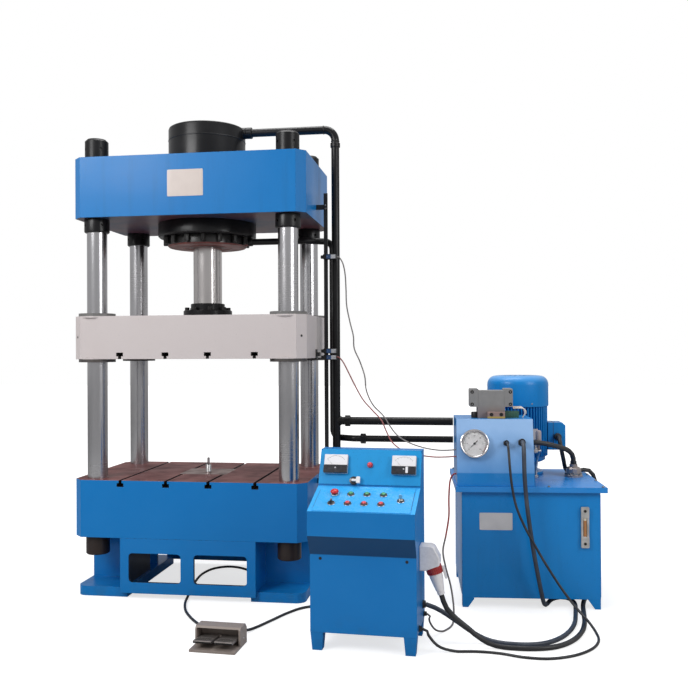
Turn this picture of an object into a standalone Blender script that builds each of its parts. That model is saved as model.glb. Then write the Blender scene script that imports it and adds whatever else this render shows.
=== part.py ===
# A four-column hydraulic press with its power pack, control console and foot switch.
# Metres, +Z up. The press stands at the middle of its own frame, with its front towards -Y.
import math

import bmesh
import bpy
from mathutils import Matrix, Vector

# Fits
GAP = 0.0003                    # between pieces that touch
FIT = 0.0006                    # radial clearance of pins, rods and stems in their bores

# Press frame
BEAM_WIDTH = 1.43
BEAM_DEPTH = 0.85
BEAM_CHAMFER = 0.052
BED_BOTTOM = 0.356
BED_THICKNESS = 0.344
DAYLIGHT = 0.723                # bed to slide, as the slide stands
SLIDE_THICKNESS = 0.259
HEADROOM = 0.594                # slide to crosshead, as the slide stands
CROSSHEAD_THICKNESS = 0.364
COLUMN_DIAMETER = 0.12
COLUMN_INSET_X = 0.1185          # column centres from the beams' sides
COLUMN_INSET_Y = 0.096
COLUMN_NUT_DIAMETER = 0.14
COLUMN_NUT_HEIGHT = 0.115
SHOULDER_NUT_DIAMETER = 0.15
SHOULDER_NUT_HEIGHT = 0.083
NUT_CHAMFER = 0.006
COLUMN_END = 0.008              # what stands above the top nut
BUSH_SEAT = 0.010
BUSH_FLANGE_DIAMETER = 0.22
BUSH_FLANGE_THICKNESS = 0.018

# T-slots of the bed and the slide
SLOT_OFFSETS = (0.13, 0.413)
SLOT_NECK_WIDTH = 0.019
SLOT_NECK_DEPTH = 0.017
SLOT_HEAD_WIDTH = 0.042
SLOT_HEAD_DEPTH = 0.022
CENTRE_PLATE_WIDTH = 0.296
CENTRE_PLATE_DEPTH = 0.25
CENTRE_PLATE_THICKNESS = 0.03

# Main cylinder and its strokes
BARREL_DIAMETER = 0.486
BARREL_WALL = 0.073
BARREL_STANDING = 0.245          # what stands above the crosshead
BARREL_CAP = 0.085
BARREL_FLANGE_REACH = 0.066      # what the flange stands out of the barrel
BARREL_FLANGE_THICKNESS = 0.088
GLAND_REACH = 0.007             # what the gland stands out of the barrel
GLAND_BOLT_INSET = 0.038
GLAND_THICKNESS = 0.059
GLAND_SPIGOT = 0.014
ROD_DIAMETER = 0.18
PISTON_THICKNESS = 0.08
STROKE_DOWN = 0.30
STROKE_UP = 0.20
STROKE_END = 0.010              # oil film left at either end of the bore
ROD_FLANGE_DIAMETER = 0.307
ROD_FLANGE_THICKNESS = 0.045
ROD_HUB_DIAMETER = 0.215
ROD_HUB_HEIGHT = 0.088

# Ejector in the bed
EJECTOR_DIAMETER = 0.034
EJECTOR_TIP_DIAMETER = 0.016
EJECTOR_STANDING = 0.090        # what shows above the bed
EJECTOR_TIP_LENGTH = 0.045
EJECTOR_DOWN = 0.090
EJECTOR_UP = 0.080
EJECTOR_BARREL_DIAMETER = 0.13
EJECTOR_BORE_DIAMETER = 0.08
EJECTOR_WALL = 0.015
EJECTOR_BARREL_LENGTH = 0.34
EJECTOR_LAND = 0.030            # bed left between the insert and the ejector's cylinder
EJECTOR_PISTON_THICKNESS = 0.025

# Plinth
PLINTH_HALF_WIDTH = 0.415
PLINTH_WALL = 0.022
PLINTH_RAISED = 0.030
WINDOW_INNER = 0.040
WINDOW_OUTER = 0.362
WINDOW_BOTTOM = 0.095
WINDOW_TOP = 0.268
WINDOW_RADIUS = 0.022
FOOT_INNER = 0.380
FOOT_INSET = 0.015              # feet from the beams' sides
FOOT_SETBACK = 0.025            # feet from the beams' front and rear
FOOT_HEIGHT = 0.057
FOOT_RADIUS = 0.055
WEB_OFFSET = 0.150
WEB_THICKNESS = 0.024

# Limit switches and press pipework
RAIL_OUT = 0.060                # rail from the beams' side
RAIL_Y = -0.050
RAIL_WIDTH = 0.024
RAIL_THICKNESS = 0.010
RAIL_BELOW_BED = 0.080
RAIL_ABOVE_CROSSHEAD = 0.170
UPPER_SWITCH = 0.366            # over the slide's top
LOWER_SWITCHES = (0.043, 0.004)  # over the slide's underside
SWITCH_SIZE = 0.032
PIPE_DIAMETER = 0.050
PIPE_OUT = 0.115                # pipe from the beams' side
PIPE_BELOW_TOP = 0.032          # port's centre under the cylinder's top
PIPE_BRANCH_DROP = 0.039        # branches under the stand's top
PIPE_END_DROP = 0.180           # lower end under the bed's table
RETURN_DIAMETER = 0.040
RETURN_OUT = 0.082
RETURN_Y = 0.078
RETURN_PORT = 0.031             # port's centre over the gland's underside
RETURN_BRANCH_DROP = 0.149
BEND_RADIUS = 0.070

# Control console: x across, y back from the cabinet's front, z up
CONSOLE_PLACE = (1.134, -1.150, 0.0)
CONSOLE_YAW = math.radians(-3.0)
CONSOLE_WIDTH = 0.525
CONSOLE_DEPTH = 0.360
CONSOLE_FOOT_HEIGHT = 0.090
CONSOLE_FOOT_WIDTH = 0.065
CONSOLE_FOOT_TAPER = 0.008
CABINET_FRONT_TOP = 0.470
LIP_BOTTOM = 0.572
LIP_TOP = 0.692
LIP_OVERHANG = 0.060
DESK_DEPTH = 0.250
DESK_RISE = 0.085
PANEL_TOP = 0.955
PANEL_LEAN = 0.080
SHEET = 0.003
DESK_COLUMNS = (-0.1575, -0.076, 0.006, 0.089)
KEY_COLUMN = 0.181
REAR_ROW = 0.172
FRONT_ROW = 0.078
KEY_ROW = 0.118
BEZEL_DIAMETER = 0.031
BEZEL_HEIGHT = 0.006
BUTTON_DIAMETER = 0.022
BUTTON_HEIGHT = 0.008
BUTTON_TRAVEL = 0.004
STEM_DIAMETER = 0.010
STEM_LENGTH = 0.022
MUSHROOM_DIAMETER = 0.042
MUSHROOM_TRAVEL = 0.005
METER_WIDTH = 0.125
METER_HEIGHT = 0.100
METER_DEPTH = 0.024
METER_OFFSET = 0.176
PANEL_MIDDLE = 0.112            # up the panel from its foot
LAMP_DIAMETER = 0.030
MAIN_SWITCH_OFFSET = -0.079
MAIN_SWITCH_HEIGHT = 0.028
MAIN_SWITCH_DIAMETER = 0.044
INLET_LOW = 0.400
INLET_HEIGHT = 0.108
INLET_REACH = 0.100
INLET_WIDTH = 0.090
INLET_BACK = 0.100
PLUG_TILT = math.radians(15.7)
COLLAR_DIAMETER = 0.080
COLLAR_LENGTH = 0.036
PLUG_LENGTH = 0.106
PLUG_DIAMETER = 0.066
PLUG_END_DIAMETER = 0.036

# Power pack: its frame stands on the floor under the middle of the tank's lid
PACK_PLACE = (1.970, 0.030, 0.0)
PACK_YAW = math.radians(3.8)
TANK_WIDTH = 0.775
TANK_DEPTH = 0.694
TANK_BOTTOM = 0.055
TANK_WALL = 0.012
LID_WIDTH = 0.846
LID_DEPTH = 0.750
LID_TOP = 0.690
LID_THICKNESS = 0.030
TANK_FOOT_WIDTH = 0.066
TANK_FOOT_TOE = 0.032
STAND_LEFT = -0.414
STAND_RIGHT = 0.022
STAND_FRONT = -0.353
STAND_REAR = 0.022
STAND_FOLD = 0.770
STAND_TOP = 1.069
STAND_LEAN = 0.060
GAUGE_X = -0.314
GAUGE_UP = 0.161
GAUGE_DIAMETER = 0.165
GAUGE_DEPTH = 0.036
GAUGE_DIP = 0.012
NEEDLE_LENGTH = 0.052
NEEDLE_REST = 225               # degrees round the dial from its right side: at zero
THIN_GLAND = (-0.134, 0.166)
THICK_GLAND = (-0.046, 0.170)
GLAND_LENGTH = 0.034
VALVE_PLACE = (-0.207, -0.175)
VALVE_WIDTH = 0.250
VALVE_BASE_WIDTH = 0.158
VALVE_DEPTH = 0.110
VALVE_BASE_HEIGHT = 0.063
VALVE_HEIGHT = 0.172
MOTOR_PLACE = (0.0, 0.212)
MOTOR_FIN_RADIUS = 0.183
MOTOR_CORE_RADIUS = 0.158
MOTOR_FINS = 24
MOTOR_FIN_BOTTOM = 0.800
MOTOR_FIN_TOP = 1.126
COWL_RADIUS = 0.190
COWL_TOP = 1.305
COWL_WALL = 0.004
SHAFT_RADIUS = 0.019
SHAFT_BOTTOM = 0.505
PUMP_RADIUS = 0.062
PUMP_BOTTOM = 0.420
FAN_RADIUS = 0.165
TERMINAL_LOW = (0.176, 0.145, 0.842)
TERMINAL_HIGH = (0.285, 0.275, 1.013)
FILTER_PLACE = (0.314, 0.049)
FILTER_DIAMETER = 0.110
FILTER_HEIGHT = 0.077
HOSE_DIAMETER = 0.030
HOSE_START_Y = -0.100
HOSE_START_DROP = 0.154         # under the stand's top
HOSE_BEND = ((0.1875, 0.0, 0.014), (0.43, 0.10, 0.104), (0.656, 0.369, 0.243), (0.847, 0.705, 0.396),
             (0.962, 0.926, 0.604), (1.0, 1.0, 0.833))   # parts of the way along, back and down
LEVEL_X = 0.300
LEVEL_LOW = 0.348
LEVEL_HIGH = 0.580
LEVEL_WIDTH = 0.048

# Foot switch
FOOT_SWITCH_PLACE = (0.405, -1.245, 0.0)
FOOT_SWITCH_YAW = math.radians(-3.0)
FOOT_SWITCH_WIDTH = 0.235
FOOT_SWITCH_DEPTH = 0.190
FOOT_SWITCH_HEIGHT = 0.100
FOOT_SWITCH_FLOOR = 0.012
FOOT_SWITCH_WALL = 0.009
HOOD_FRONT = 0.085
PEDAL_WIDTH = 0.092
PEDAL_REACH = 0.128
PEDAL_HINGE = (0.138, 0.036)
PEDAL_PIN_RADIUS = 0.005
PEDAL_TRAVEL = 8.0              # degrees

# Cables and wires: diameter, then the route's points chosen by hand in the press frame
CABLES = {
    "motor_cable": (0.026, [
        (2.199, 0.105, 0.912), (2.206, 0.085, 0.862), (2.222, 0.105, 0.790), (2.240, 0.165, 0.730),
        (2.275, 0.225, 0.7045),
        (2.330, 0.255, 0.7055), (2.380, 0.272, 0.7100), (2.414, 0.284, 0.690), (2.435, 0.291, 0.640),
        (2.440, 0.292, 0.560),
        (2.440, 0.288, 0.400),
        (2.440, 0.280, 0.200), (2.436, 0.255, 0.075), (2.415, 0.190, 0.0135), (2.370, 0.050, 0.0135),
        (2.318, -0.110, 0.0135),
        (2.285, -0.260, 0.0135), (2.268, -0.420, 0.0135), (2.252, -0.570, 0.0135), (2.220, -0.720, 0.0135),
        (2.160, -0.860, 0.0135), (2.070, -0.965, 0.0135), (1.955, -1.010, 0.0135), (1.835, -1.012, 0.0135),
        (1.750, -1.000, 0.022), (1.685, -0.992, 0.055), (1.630, -0.996, 0.100), (1.578, -1.008, 0.145),
        (1.536, -1.019, 0.192)]),
    "valve_cable": (0.024, [
        (1.951, -0.395, 0.918), (1.951, -0.412, 0.870), (1.954, -0.414, 0.750), (1.966, -0.410, 0.600),
        (1.985, -0.405, 0.450),
        (2.008, -0.396, 0.300), (2.030, -0.382, 0.180), (2.048, -0.362, 0.090), (2.064, -0.325, 0.0300),
        (2.085, -0.262, 0.0125),
        (2.120, -0.170, 0.0125), (2.172, -0.120, 0.0125), (2.222, -0.140, 0.0125), (2.243, -0.225, 0.0125),
        (2.234, -0.340, 0.0125), (2.220, -0.450, 0.0125), (2.200, -0.580, 0.0125), (2.162, -0.710, 0.0125),
        (2.102, -0.830, 0.0125), (2.020, -0.920, 0.0125), (1.925, -0.957, 0.0125), (1.825, -0.955, 0.0125),
        (1.735, -0.940, 0.022), (1.655, -0.926, 0.055), (1.575, -0.916, 0.105), (1.500, -0.910, 0.150),
        (1.450, -0.908, 0.172)]),
    "signal_cable": (0.014, [
        (1.865, -0.385, 0.925), (1.868, -0.420, 0.880), (1.873, -0.440, 0.800), (1.884, -0.448, 0.700),
        (1.905, -0.452, 0.600),
        (1.945, -0.456, 0.500), (1.998, -0.460, 0.400), (2.055, -0.464, 0.300), (2.115, -0.472, 0.205),
        (2.172, -0.495, 0.125),
        (2.220, -0.545, 0.072), (2.265, -0.630, 0.035), (2.290, -0.730, 0.0090), (2.282, -0.850, 0.0075),
        (2.232, -0.965, 0.0075),
        (2.140, -1.062, 0.0075), (2.020, -1.120, 0.0075), (1.900, -1.118, 0.0075), (1.795, -1.082, 0.0075),
        (1.690, -1.070, 0.0075), (1.585, -1.082, 0.0080), (1.500, -1.092, 0.030), (1.450, -1.088, 0.078)]),
    "foot_cable": (0.015, [
        (0.322, -1.010, 0.040), (0.292, -0.955, 0.016), (0.222, -0.868, 0.0080), (0.140, -0.762, 0.0080),
        (0.066, -0.640, 0.0080),
        (0.014, -0.500, 0.0080), (-0.014, -0.370, 0.0080), (-0.046, -0.200, 0.0080),
        (-0.076, -0.030, 0.0080),
        (-0.086, 0.130, 0.0080), (-0.056, 0.262, 0.0080), (0.018, 0.328, 0.0080), (0.106, 0.318, 0.0080),
        (0.190, 0.258, 0.0080),
        (0.250, 0.198, 0.022), (0.305, 0.158, 0.058), (0.360, 0.125, 0.0685), (0.440, 0.094, 0.0660),
        (0.520, 0.066, 0.0655),
        (0.610, 0.038, 0.0660), (0.690, 0.012, 0.0680), (0.745, -0.014, 0.042), (0.795, -0.052, 0.0110),
        (0.870, -0.130, 0.0080), (0.965, -0.260, 0.0080),
        (1.040, -0.400, 0.0080), (1.085, -0.530, 0.0080), (1.102, -0.640, 0.020), (1.106, -0.720, 0.075)]),
    "foot_lead": (0.015, [
        (0.468, -1.006, 0.040), (0.500, -0.930, 0.014), (0.545, -0.830, 0.0080), (0.590, -0.725, 0.0080),
        (0.640, -0.610, 0.0080),
        (0.705, -0.505, 0.0080), (0.790, -0.455, 0.0080), (0.875, -0.478, 0.0080), (0.940, -0.560, 0.0080),
        (0.972, -0.650, 0.024),
        (0.985, -0.725, 0.078)]),
    "upper_limit_wire": (0.008, [
        (0.862, -0.066, 2.044), (0.884, -0.062, 2.006), (0.896, -0.050, 1.940), (0.900, -0.042, 1.850),
        (0.903, -0.040, 1.750),
        (0.922, -0.040, 1.650), (0.944, -0.042, 1.560), (0.950, -0.044, 1.480), (0.985, -0.048, 1.400),
        (1.015, -0.052, 1.310),
        (1.026, -0.056, 1.220), (1.066, -0.064, 1.135), (1.130, -0.074, 1.070), (1.178, -0.090, 1.000),
        (1.222, -0.115, 0.952),
        (1.290, -0.150, 0.915), (1.380, -0.190, 0.890), (1.470, -0.225, 0.880), (1.545, -0.246, 0.884)]),
    "lower_limit_wire": (0.008, [
        (0.862, -0.068, 1.424), (0.888, -0.078, 1.392), (0.920, -0.086, 1.332), (0.962, -0.094, 1.250),
        (1.010, -0.102, 1.168),
        (1.070, -0.112, 1.102), (1.124, -0.126, 1.046), (1.154, -0.142, 0.984), (1.190, -0.162, 0.920),
        (1.250, -0.186, 0.876),
        (1.340, -0.216, 0.852), (1.440, -0.242, 0.842), (1.520, -0.258, 0.845), (1.550, -0.262, 0.848)]),
    "stand_wires": (0.010, [
        (1.552, -0.285, 0.742), (1.538, -0.300, 0.708), (1.532, -0.330, 0.620), (1.532, -0.362, 0.520),
        (1.516, -0.400, 0.420),
        (1.500, -0.440, 0.340), (1.516, -0.482, 0.260), (1.544, -0.530, 0.170), (1.560, -0.590, 0.080),
        (1.560, -0.655, 0.020),
        (1.545, -0.720, 0.0060), (1.510, -0.790, 0.0060), (1.468, -0.838, 0.030), (1.440, -0.856, 0.082)]),
}

# Where the cables enter the console: local place of each gland on its right side or its back
CONSOLE_ENTRIES = {"valve_cable": ("side", 0.258, 0.178, 0.017),
                   "signal_cable": ("side", 0.078, 0.112, 0.012),
                   "stand_wires": ("side", 0.310, 0.114, 0.010),
                   "foot_cable": ("back", -0.050, 0.110, 0.013),
                   "foot_lead": ("back", -0.170, 0.114, 0.013)}
ENTRY_LENGTH = 0.016

# Facets
ROUND = 20
COLUMN_ROUND = 16
BARREL_ROUND = 24
SMALL_ROUND = 12
BUTTON_ROUND = 10
HOLE_ROUND = 6

# Sizes that follow from the ones above
COLUMN_SPACING_X = BEAM_WIDTH - 2 * COLUMN_INSET_X
COLUMN_SPACING_Y = BEAM_DEPTH - 2 * COLUMN_INSET_Y
FOOT_OUTER = BEAM_WIDTH / 2 - FOOT_INSET
FOOT_DEPTH = BEAM_DEPTH - 2 * FOOT_SETBACK
BED_TOP = BED_BOTTOM + BED_THICKNESS
SLIDE_BOTTOM = BED_TOP + DAYLIGHT
SLIDE_TOP = SLIDE_BOTTOM + SLIDE_THICKNESS
CROSSHEAD_BOTTOM = SLIDE_TOP + HEADROOM
CROSSHEAD_TOP = CROSSHEAD_BOTTOM + CROSSHEAD_THICKNESS
BARREL_TOP = CROSSHEAD_TOP + BARREL_STANDING
BORE_DIAMETER = BARREL_DIAMETER - 2 * BARREL_WALL
BARREL_FLANGE_DIAMETER = BARREL_DIAMETER + 2 * BARREL_FLANGE_REACH
GLAND_DIAMETER = BARREL_DIAMETER + 2 * GLAND_REACH
RAIL_X = BEAM_WIDTH / 2 + RAIL_OUT
RAIL_BOTTOM = BED_TOP - RAIL_BELOW_BED
RAIL_TOP = CROSSHEAD_BOTTOM + RAIL_ABOVE_CROSSHEAD
SWITCH_HEIGHTS = (SLIDE_TOP + UPPER_SWITCH, *(SLIDE_BOTTOM + height for height in LOWER_SWITCHES))
PIPE_X = BEAM_WIDTH / 2 + PIPE_OUT
PIPE_TOP = BARREL_TOP - PIPE_BELOW_TOP
PIPE_BRANCH_HEIGHT = STAND_TOP - PIPE_BRANCH_DROP
PIPE_END_HEIGHT = BED_TOP - PIPE_END_DROP
RETURN_X = BEAM_WIDTH / 2 + RETURN_OUT
RETURN_BRANCH_HEIGHT = STAND_TOP - RETURN_BRANCH_DROP
BARREL_BOTTOM = CROSSHEAD_BOTTOM - BARREL_FLANGE_THICKNESS
GLAND_BOTTOM = BARREL_BOTTOM - GLAND_THICKNESS
RETURN_TOP = GLAND_BOTTOM + RETURN_PORT
PISTON_BOTTOM = BARREL_BOTTOM + GLAND_SPIGOT + STROKE_END + STROKE_DOWN
CORNERS = {"front_left": (-1, -1), "front_right": (1, -1), "rear_left": (-1, 1), "rear_right": (1, 1)}


def clear_scene():
    for old in list(bpy.data.objects):
        bpy.data.objects.remove(old, do_unlink=True)


def finish(name, colour, roughness, metallic=0.0):
    """A painted, machined or moulded surface."""
    made = bpy.data.materials.new(name)
    made.use_nodes = True
    shader = made.node_tree.nodes["Principled BSDF"]
    shader.inputs["Base Color"].default_value = (*colour, 1.0)
    shader.inputs["Roughness"].default_value = roughness
    shader.inputs["Metallic"].default_value = metallic
    return made


def frame(name, place=(0, 0, 0), yaw=0.0, tilt=0.0, parent=None):
    """An empty that carries a group of pieces; yaw turns it about Z, tilt about X."""
    empty = bpy.data.objects.new(name, None)
    bpy.context.collection.objects.link(empty)
    empty.location = place
    empty.rotation_euler = (tilt, 0, yaw)
    empty.parent = parent
    return empty


def piece(name, shape, surface, parent, place=(0, 0, 0), turn=(0, 0, 0)):
    """Turns a bmesh into a named object on its carrier, smooth where its faces meet gently."""
    bmesh.ops.recalc_face_normals(shape, faces=shape.faces)
    mesh = bpy.data.meshes.new(name)
    shape.to_mesh(mesh)
    shape.free()
    mesh.shade_smooth()
    mesh.set_sharp_from_angle(angle=math.radians(35))
    mesh.materials.append(surface)
    made = bpy.data.objects.new(name, mesh)
    bpy.context.collection.objects.link(made)
    made.parent = parent
    made.location = place
    made.rotation_euler = turn
    return made


def shape_tool(target, shape, operation):
    """Cuts a shape out of a piece or welds it on, in the piece's own frame."""
    tool = piece(target.name + "_tool", shape, target.data.materials[0], target)
    tool.hide_render = True
    tool.display_type = "WIRE"
    boolean = target.modifiers.new(operation.title(), "BOOLEAN")
    boolean.operation = operation
    boolean.solver = "EXACT"
    boolean.object = tool
    return tool


def cut(target, shape):
    return shape_tool(target, shape, "DIFFERENCE")


def weld(target, shape):
    return shape_tool(target, shape, "UNION")


def prism(shape, outline, low, high, axis="z"):
    """Extrudes a closed outline from low to high along an axis.

    The outline's two numbers are x, y for axis z; x, z for axis y; y, z for axis x."""
    spread = {"z": lambda u, v, w: (u, v, w), "y": lambda u, v, w: (u, w, v), "x": lambda u, v,
              w: (w, u, v)}[axis]
    verts = [shape.verts.new(spread(u, v, low)) for u, v in outline]
    face = shape.faces.new(verts)
    grown = bmesh.ops.extrude_face_region(shape, geom=[face])["geom"]
    lifted = [v for v in grown if isinstance(v, bmesh.types.BMVert)]
    bmesh.ops.translate(shape, verts=lifted, vec=Vector(spread(0, 0, high - low)))
    return verts + lifted


def box(shape, low, high):
    return prism(shape, [(low[0], low[1]), (high[0], low[1]), (high[0], high[1]), (low[0], high[1])],
                 low[2], high[2])


def rounded(low_u, low_v, high_u, high_v, radius, steps=4, corners="all"):
    """A rectangle with round corners; corners lists which of ll, hl, hh, lh are round."""
    outline = []
    layout = (("ll", low_u, low_v, 180), ("hl", high_u, low_v, 270), ("hh", high_u, high_v, 0),
              ("lh", low_u, high_v, 90))
    for name, u, v, start in layout:
        if corners != "all" and name not in corners:
            outline.append((u, v))
            continue
        centre_u = u + radius if u == low_u else u - radius
        centre_v = v + radius if v == low_v else v - radius
        for step in range(steps + 1):
            angle = math.radians(start + 90 * step / steps)
            outline.append((centre_u + radius * math.cos(angle), centre_v + radius * math.sin(angle)))
    return outline


def chamfered(width, depth, chamfer):
    """A rectangle about the origin with its four corners cut off."""
    u, v = width / 2, depth / 2
    return [(-u + chamfer, -v), (u - chamfer, -v), (u, -v + chamfer), (u, v - chamfer),
            (u - chamfer, v), (-u + chamfer, v), (-u, v - chamfer), (-u, -v + chamfer)]


def circle(radius, sides, centre=(0, 0)):
    return [(centre[0] + radius * math.cos(math.tau * (i + 0.5) / sides),
             centre[1] + radius * math.sin(math.tau * (i + 0.5) / sides)) for i in range(sides)]


def rod(shape, radius, low, high, sides=ROUND, centre=(0, 0), axis="z"):
    return prism(shape, circle(radius, sides, centre), low, high, axis)


def turned(shape, profile, sides=ROUND, place=(0, 0, 0), turn=None):
    """Spins a closed outline of radius and height pairs about the Z axis."""
    first = math.tau * 0.5 / sides
    verts = [shape.verts.new((r * math.cos(first), r * math.sin(first), z)) for r, z in profile]
    ring = [shape.edges.new((verts[i], verts[(i + 1) % len(verts)])) for i in range(len(verts))]
    on_axis = [e for e in ring if all(v.co.xy.length < 1e-7 for v in e.verts)]
    spun = [e for e in ring if e not in on_axis]
    before = set(shape.verts) - set(verts)
    bmesh.ops.spin(shape, geom=verts + spun, cent=(0, 0, 0), axis=(0, 0, 1), angle=math.tau,
                   steps=sides, use_merge=True, use_duplicate=False)
    for edge in on_axis:
        if edge.is_valid and not edge.link_faces:
            shape.edges.remove(edge)
    made = [v for v in shape.verts if v not in before]
    bmesh.ops.remove_doubles(shape, verts=made, dist=1e-6)
    made = [v for v in shape.verts if v not in before]
    move = Matrix.Translation(place)
    if turn is not None:
        move = move @ turn
    bmesh.ops.transform(shape, matrix=move, verts=made)
    return made


def moved(shape, verts, place=(0, 0, 0), turn=None):
    move = Matrix.Translation(place)
    if turn is not None:
        move = move @ turn
    bmesh.ops.transform(shape, matrix=move, verts=verts)
    return verts


def new_shape():
    return bmesh.new()


def tube_path(points, radius_at_bends, steps=4):
    """Straight pipe runs through the points, with an arc at each corner between them."""
    route = [Vector(points[0])]
    for before, corner, after in zip(points, points[1:], points[2:]):
        corner = Vector(corner)
        back = (Vector(before) - corner).normalized()
        ahead = (Vector(after) - corner).normalized()
        half = back.angle(ahead) / 2
        reach = radius_at_bends / math.tan(half)
        centre = corner + (back + ahead).normalized() * radius_at_bends / math.sin(half)
        start = corner + back * reach - centre
        end = corner + ahead * reach - centre
        sweep = start.angle(end)
        for step in range(steps + 1):
            part = step / steps
            turned_by = start * math.sin((1 - part) * sweep) + end * math.sin(part * sweep)
            turned_by /= math.sin(sweep)
            route.append(centre + turned_by)
    route.append(Vector(points[-1]))
    return route


def tube(shape, route, radius, sides=10):
    """A round pipe along a route, its cross-sections set square to the route."""
    rings = []
    normal = None
    for i, point in enumerate(route):
        ahead = (route[min(i + 1, len(route) - 1)] - route[max(i - 1, 0)]).normalized()
        if normal is None:
            normal = ahead.orthogonal().normalized()
        normal = (normal - ahead * normal.dot(ahead)).normalized()
        side = ahead.cross(normal)
        stretch = 1.0
        if 0 < i < len(route) - 1:
            bend = (route[i + 1] - point).angle(point - route[i - 1])
            stretch = 1.0 / math.cos(bend / 2)
        ring = []
        for k in range(sides):
            angle = math.tau * (k + 0.5) / sides
            offset = normal * math.cos(angle) + side * math.sin(angle)
            ring.append(shape.verts.new(point + offset * radius * stretch ** 0.5))
        rings.append(ring)
    for low, high in zip(rings, rings[1:]):
        for k in range(sides):
            shape.faces.new((low[k], low[(k + 1) % sides], high[(k + 1) % sides], high[k]))
    shape.faces.new(list(reversed(rings[0])))
    shape.faces.new(rings[-1])
    return [v for ring in rings for v in ring]


def column_places():
    return {name: (x * COLUMN_SPACING_X / 2, y * COLUMN_SPACING_Y / 2) for name, (x, y) in CORNERS.items()}


def slot_cutters(shape, surface_height, downward, depth, offsets=SLOT_OFFSETS):
    """T-slots along Y: a neck at the surface and a wider head under it."""
    sign = -1 if downward else 1
    inner = surface_height + sign * SLOT_NECK_DEPTH
    end = surface_height + sign * (SLOT_NECK_DEPTH + SLOT_HEAD_DEPTH)
    outside = surface_height - sign * 0.01
    for offset in offsets:
        for side in (-1, 1):
            u = side * offset
            neck, head = SLOT_NECK_WIDTH / 2, SLOT_HEAD_WIDTH / 2
            outline = [(u - neck, outside), (u - neck, inner), (u - head, inner), (u - head, end),
                       (u + head, end), (u + head, inner), (u + neck, inner), (u + neck, outside)]
            prism(shape, outline, -depth, depth, axis="y")


def press_bed(base, paint, steel):
    bed_shape = new_shape()
    prism(bed_shape, chamfered(BEAM_WIDTH, BEAM_DEPTH, BEAM_CHAMFER), BED_BOTTOM, BED_TOP)
    bed = piece("bed", bed_shape, paint, base)
    holes = new_shape()
    for centre in column_places().values():
        rod(holes, COLUMN_DIAMETER / 2 + FIT, BED_BOTTOM - 0.01, BED_TOP + 0.01, COLUMN_ROUND, centre)
    rod(holes, EJECTOR_BARREL_DIAMETER / 2 + GAP, BED_BOTTOM - 0.01,
        BED_TOP - CENTRE_PLATE_THICKNESS - EJECTOR_LAND)
    cut(bed, holes)
    slots = new_shape()
    slot_cutters(slots, BED_TOP, True, BEAM_DEPTH)
    cut(bed, slots)
    recess = new_shape()
    half = CENTRE_PLATE_WIDTH / 2 + GAP
    deep = CENTRE_PLATE_DEPTH / 2 + GAP
    box(recess, (-half, -deep, BED_TOP - CENTRE_PLATE_THICKNESS - GAP), (half, deep, BED_TOP + 0.01))
    rod(recess, EJECTOR_DIAMETER / 2 + 0.004, BED_BOTTOM + 0.1, BED_TOP - CENTRE_PLATE_THICKNESS / 2)
    cut(bed, recess)
    bed.modifiers[-1].use_self = True

    plate_shape = new_shape()
    box(plate_shape, (-CENTRE_PLATE_WIDTH / 2, -CENTRE_PLATE_DEPTH / 2, BED_TOP - CENTRE_PLATE_THICKNESS),
        (CENTRE_PLATE_WIDTH / 2, CENTRE_PLATE_DEPTH / 2, BED_TOP))
    plate = piece("centre_plate", plate_shape, steel, base)
    hole = new_shape()
    rod(hole, EJECTOR_DIAMETER / 2 + FIT, BED_TOP - 0.1, BED_TOP + 0.1)
    cut(plate, hole)


def press_plinth(base, paint):
    top = BED_BOTTOM - GAP
    half, deep = PLINTH_HALF_WIDTH, BEAM_DEPTH / 2
    body = new_shape()
    prism(body, [(-half, -deep), (half, -deep), (half, deep), (-half, deep)], PLINTH_RAISED, top)
    plinth = piece("plinth", body, paint, base)
    hollow = new_shape()
    box(hollow, (-half + PLINTH_WALL, -deep + PLINTH_WALL, -0.1),
        (half - PLINTH_WALL, deep - PLINTH_WALL, top + 0.1))
    cut(plinth, hollow)
    windows = new_shape()
    for side in (-1, 1):
        low, high = sorted((side * WINDOW_INNER, side * WINDOW_OUTER))
        prism(windows, rounded(low, WINDOW_BOTTOM, high, WINDOW_TOP, WINDOW_RADIUS), -deep - 0.1,
              deep + 0.1, axis="y")
    cut(plinth, windows)
    side_arch = new_shape()
    prism(side_arch, rounded(0.0, -0.1, deep - 0.06, WINDOW_TOP, WINDOW_RADIUS), -half - 0.1, half + 0.1,
          axis="x")
    cut(plinth, side_arch)
    for side, round_corners in ((-1, ("ll", "lh")), (1, ("hl", "hh"))):
        low, high = sorted((side * FOOT_INNER, side * FOOT_OUTER))
        foot = new_shape()
        prism(foot, rounded(low, -FOOT_DEPTH / 2, high, FOOT_DEPTH / 2, FOOT_RADIUS, 5, round_corners), 0,
              FOOT_HEIGHT)
        weld(plinth, foot)
        for end in (-1, 1):
            web = new_shape()
            near, far = sorted((side * (half - 0.01), side * (FOOT_OUTER - 0.004)))
            y_low, y_high = sorted((end * WEB_OFFSET, end * (WEB_OFFSET + WEB_THICKNESS)))
            box(web, (near, y_low, FOOT_HEIGHT - 0.01), (far, y_high, top))
            weld(plinth, web)


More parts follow.
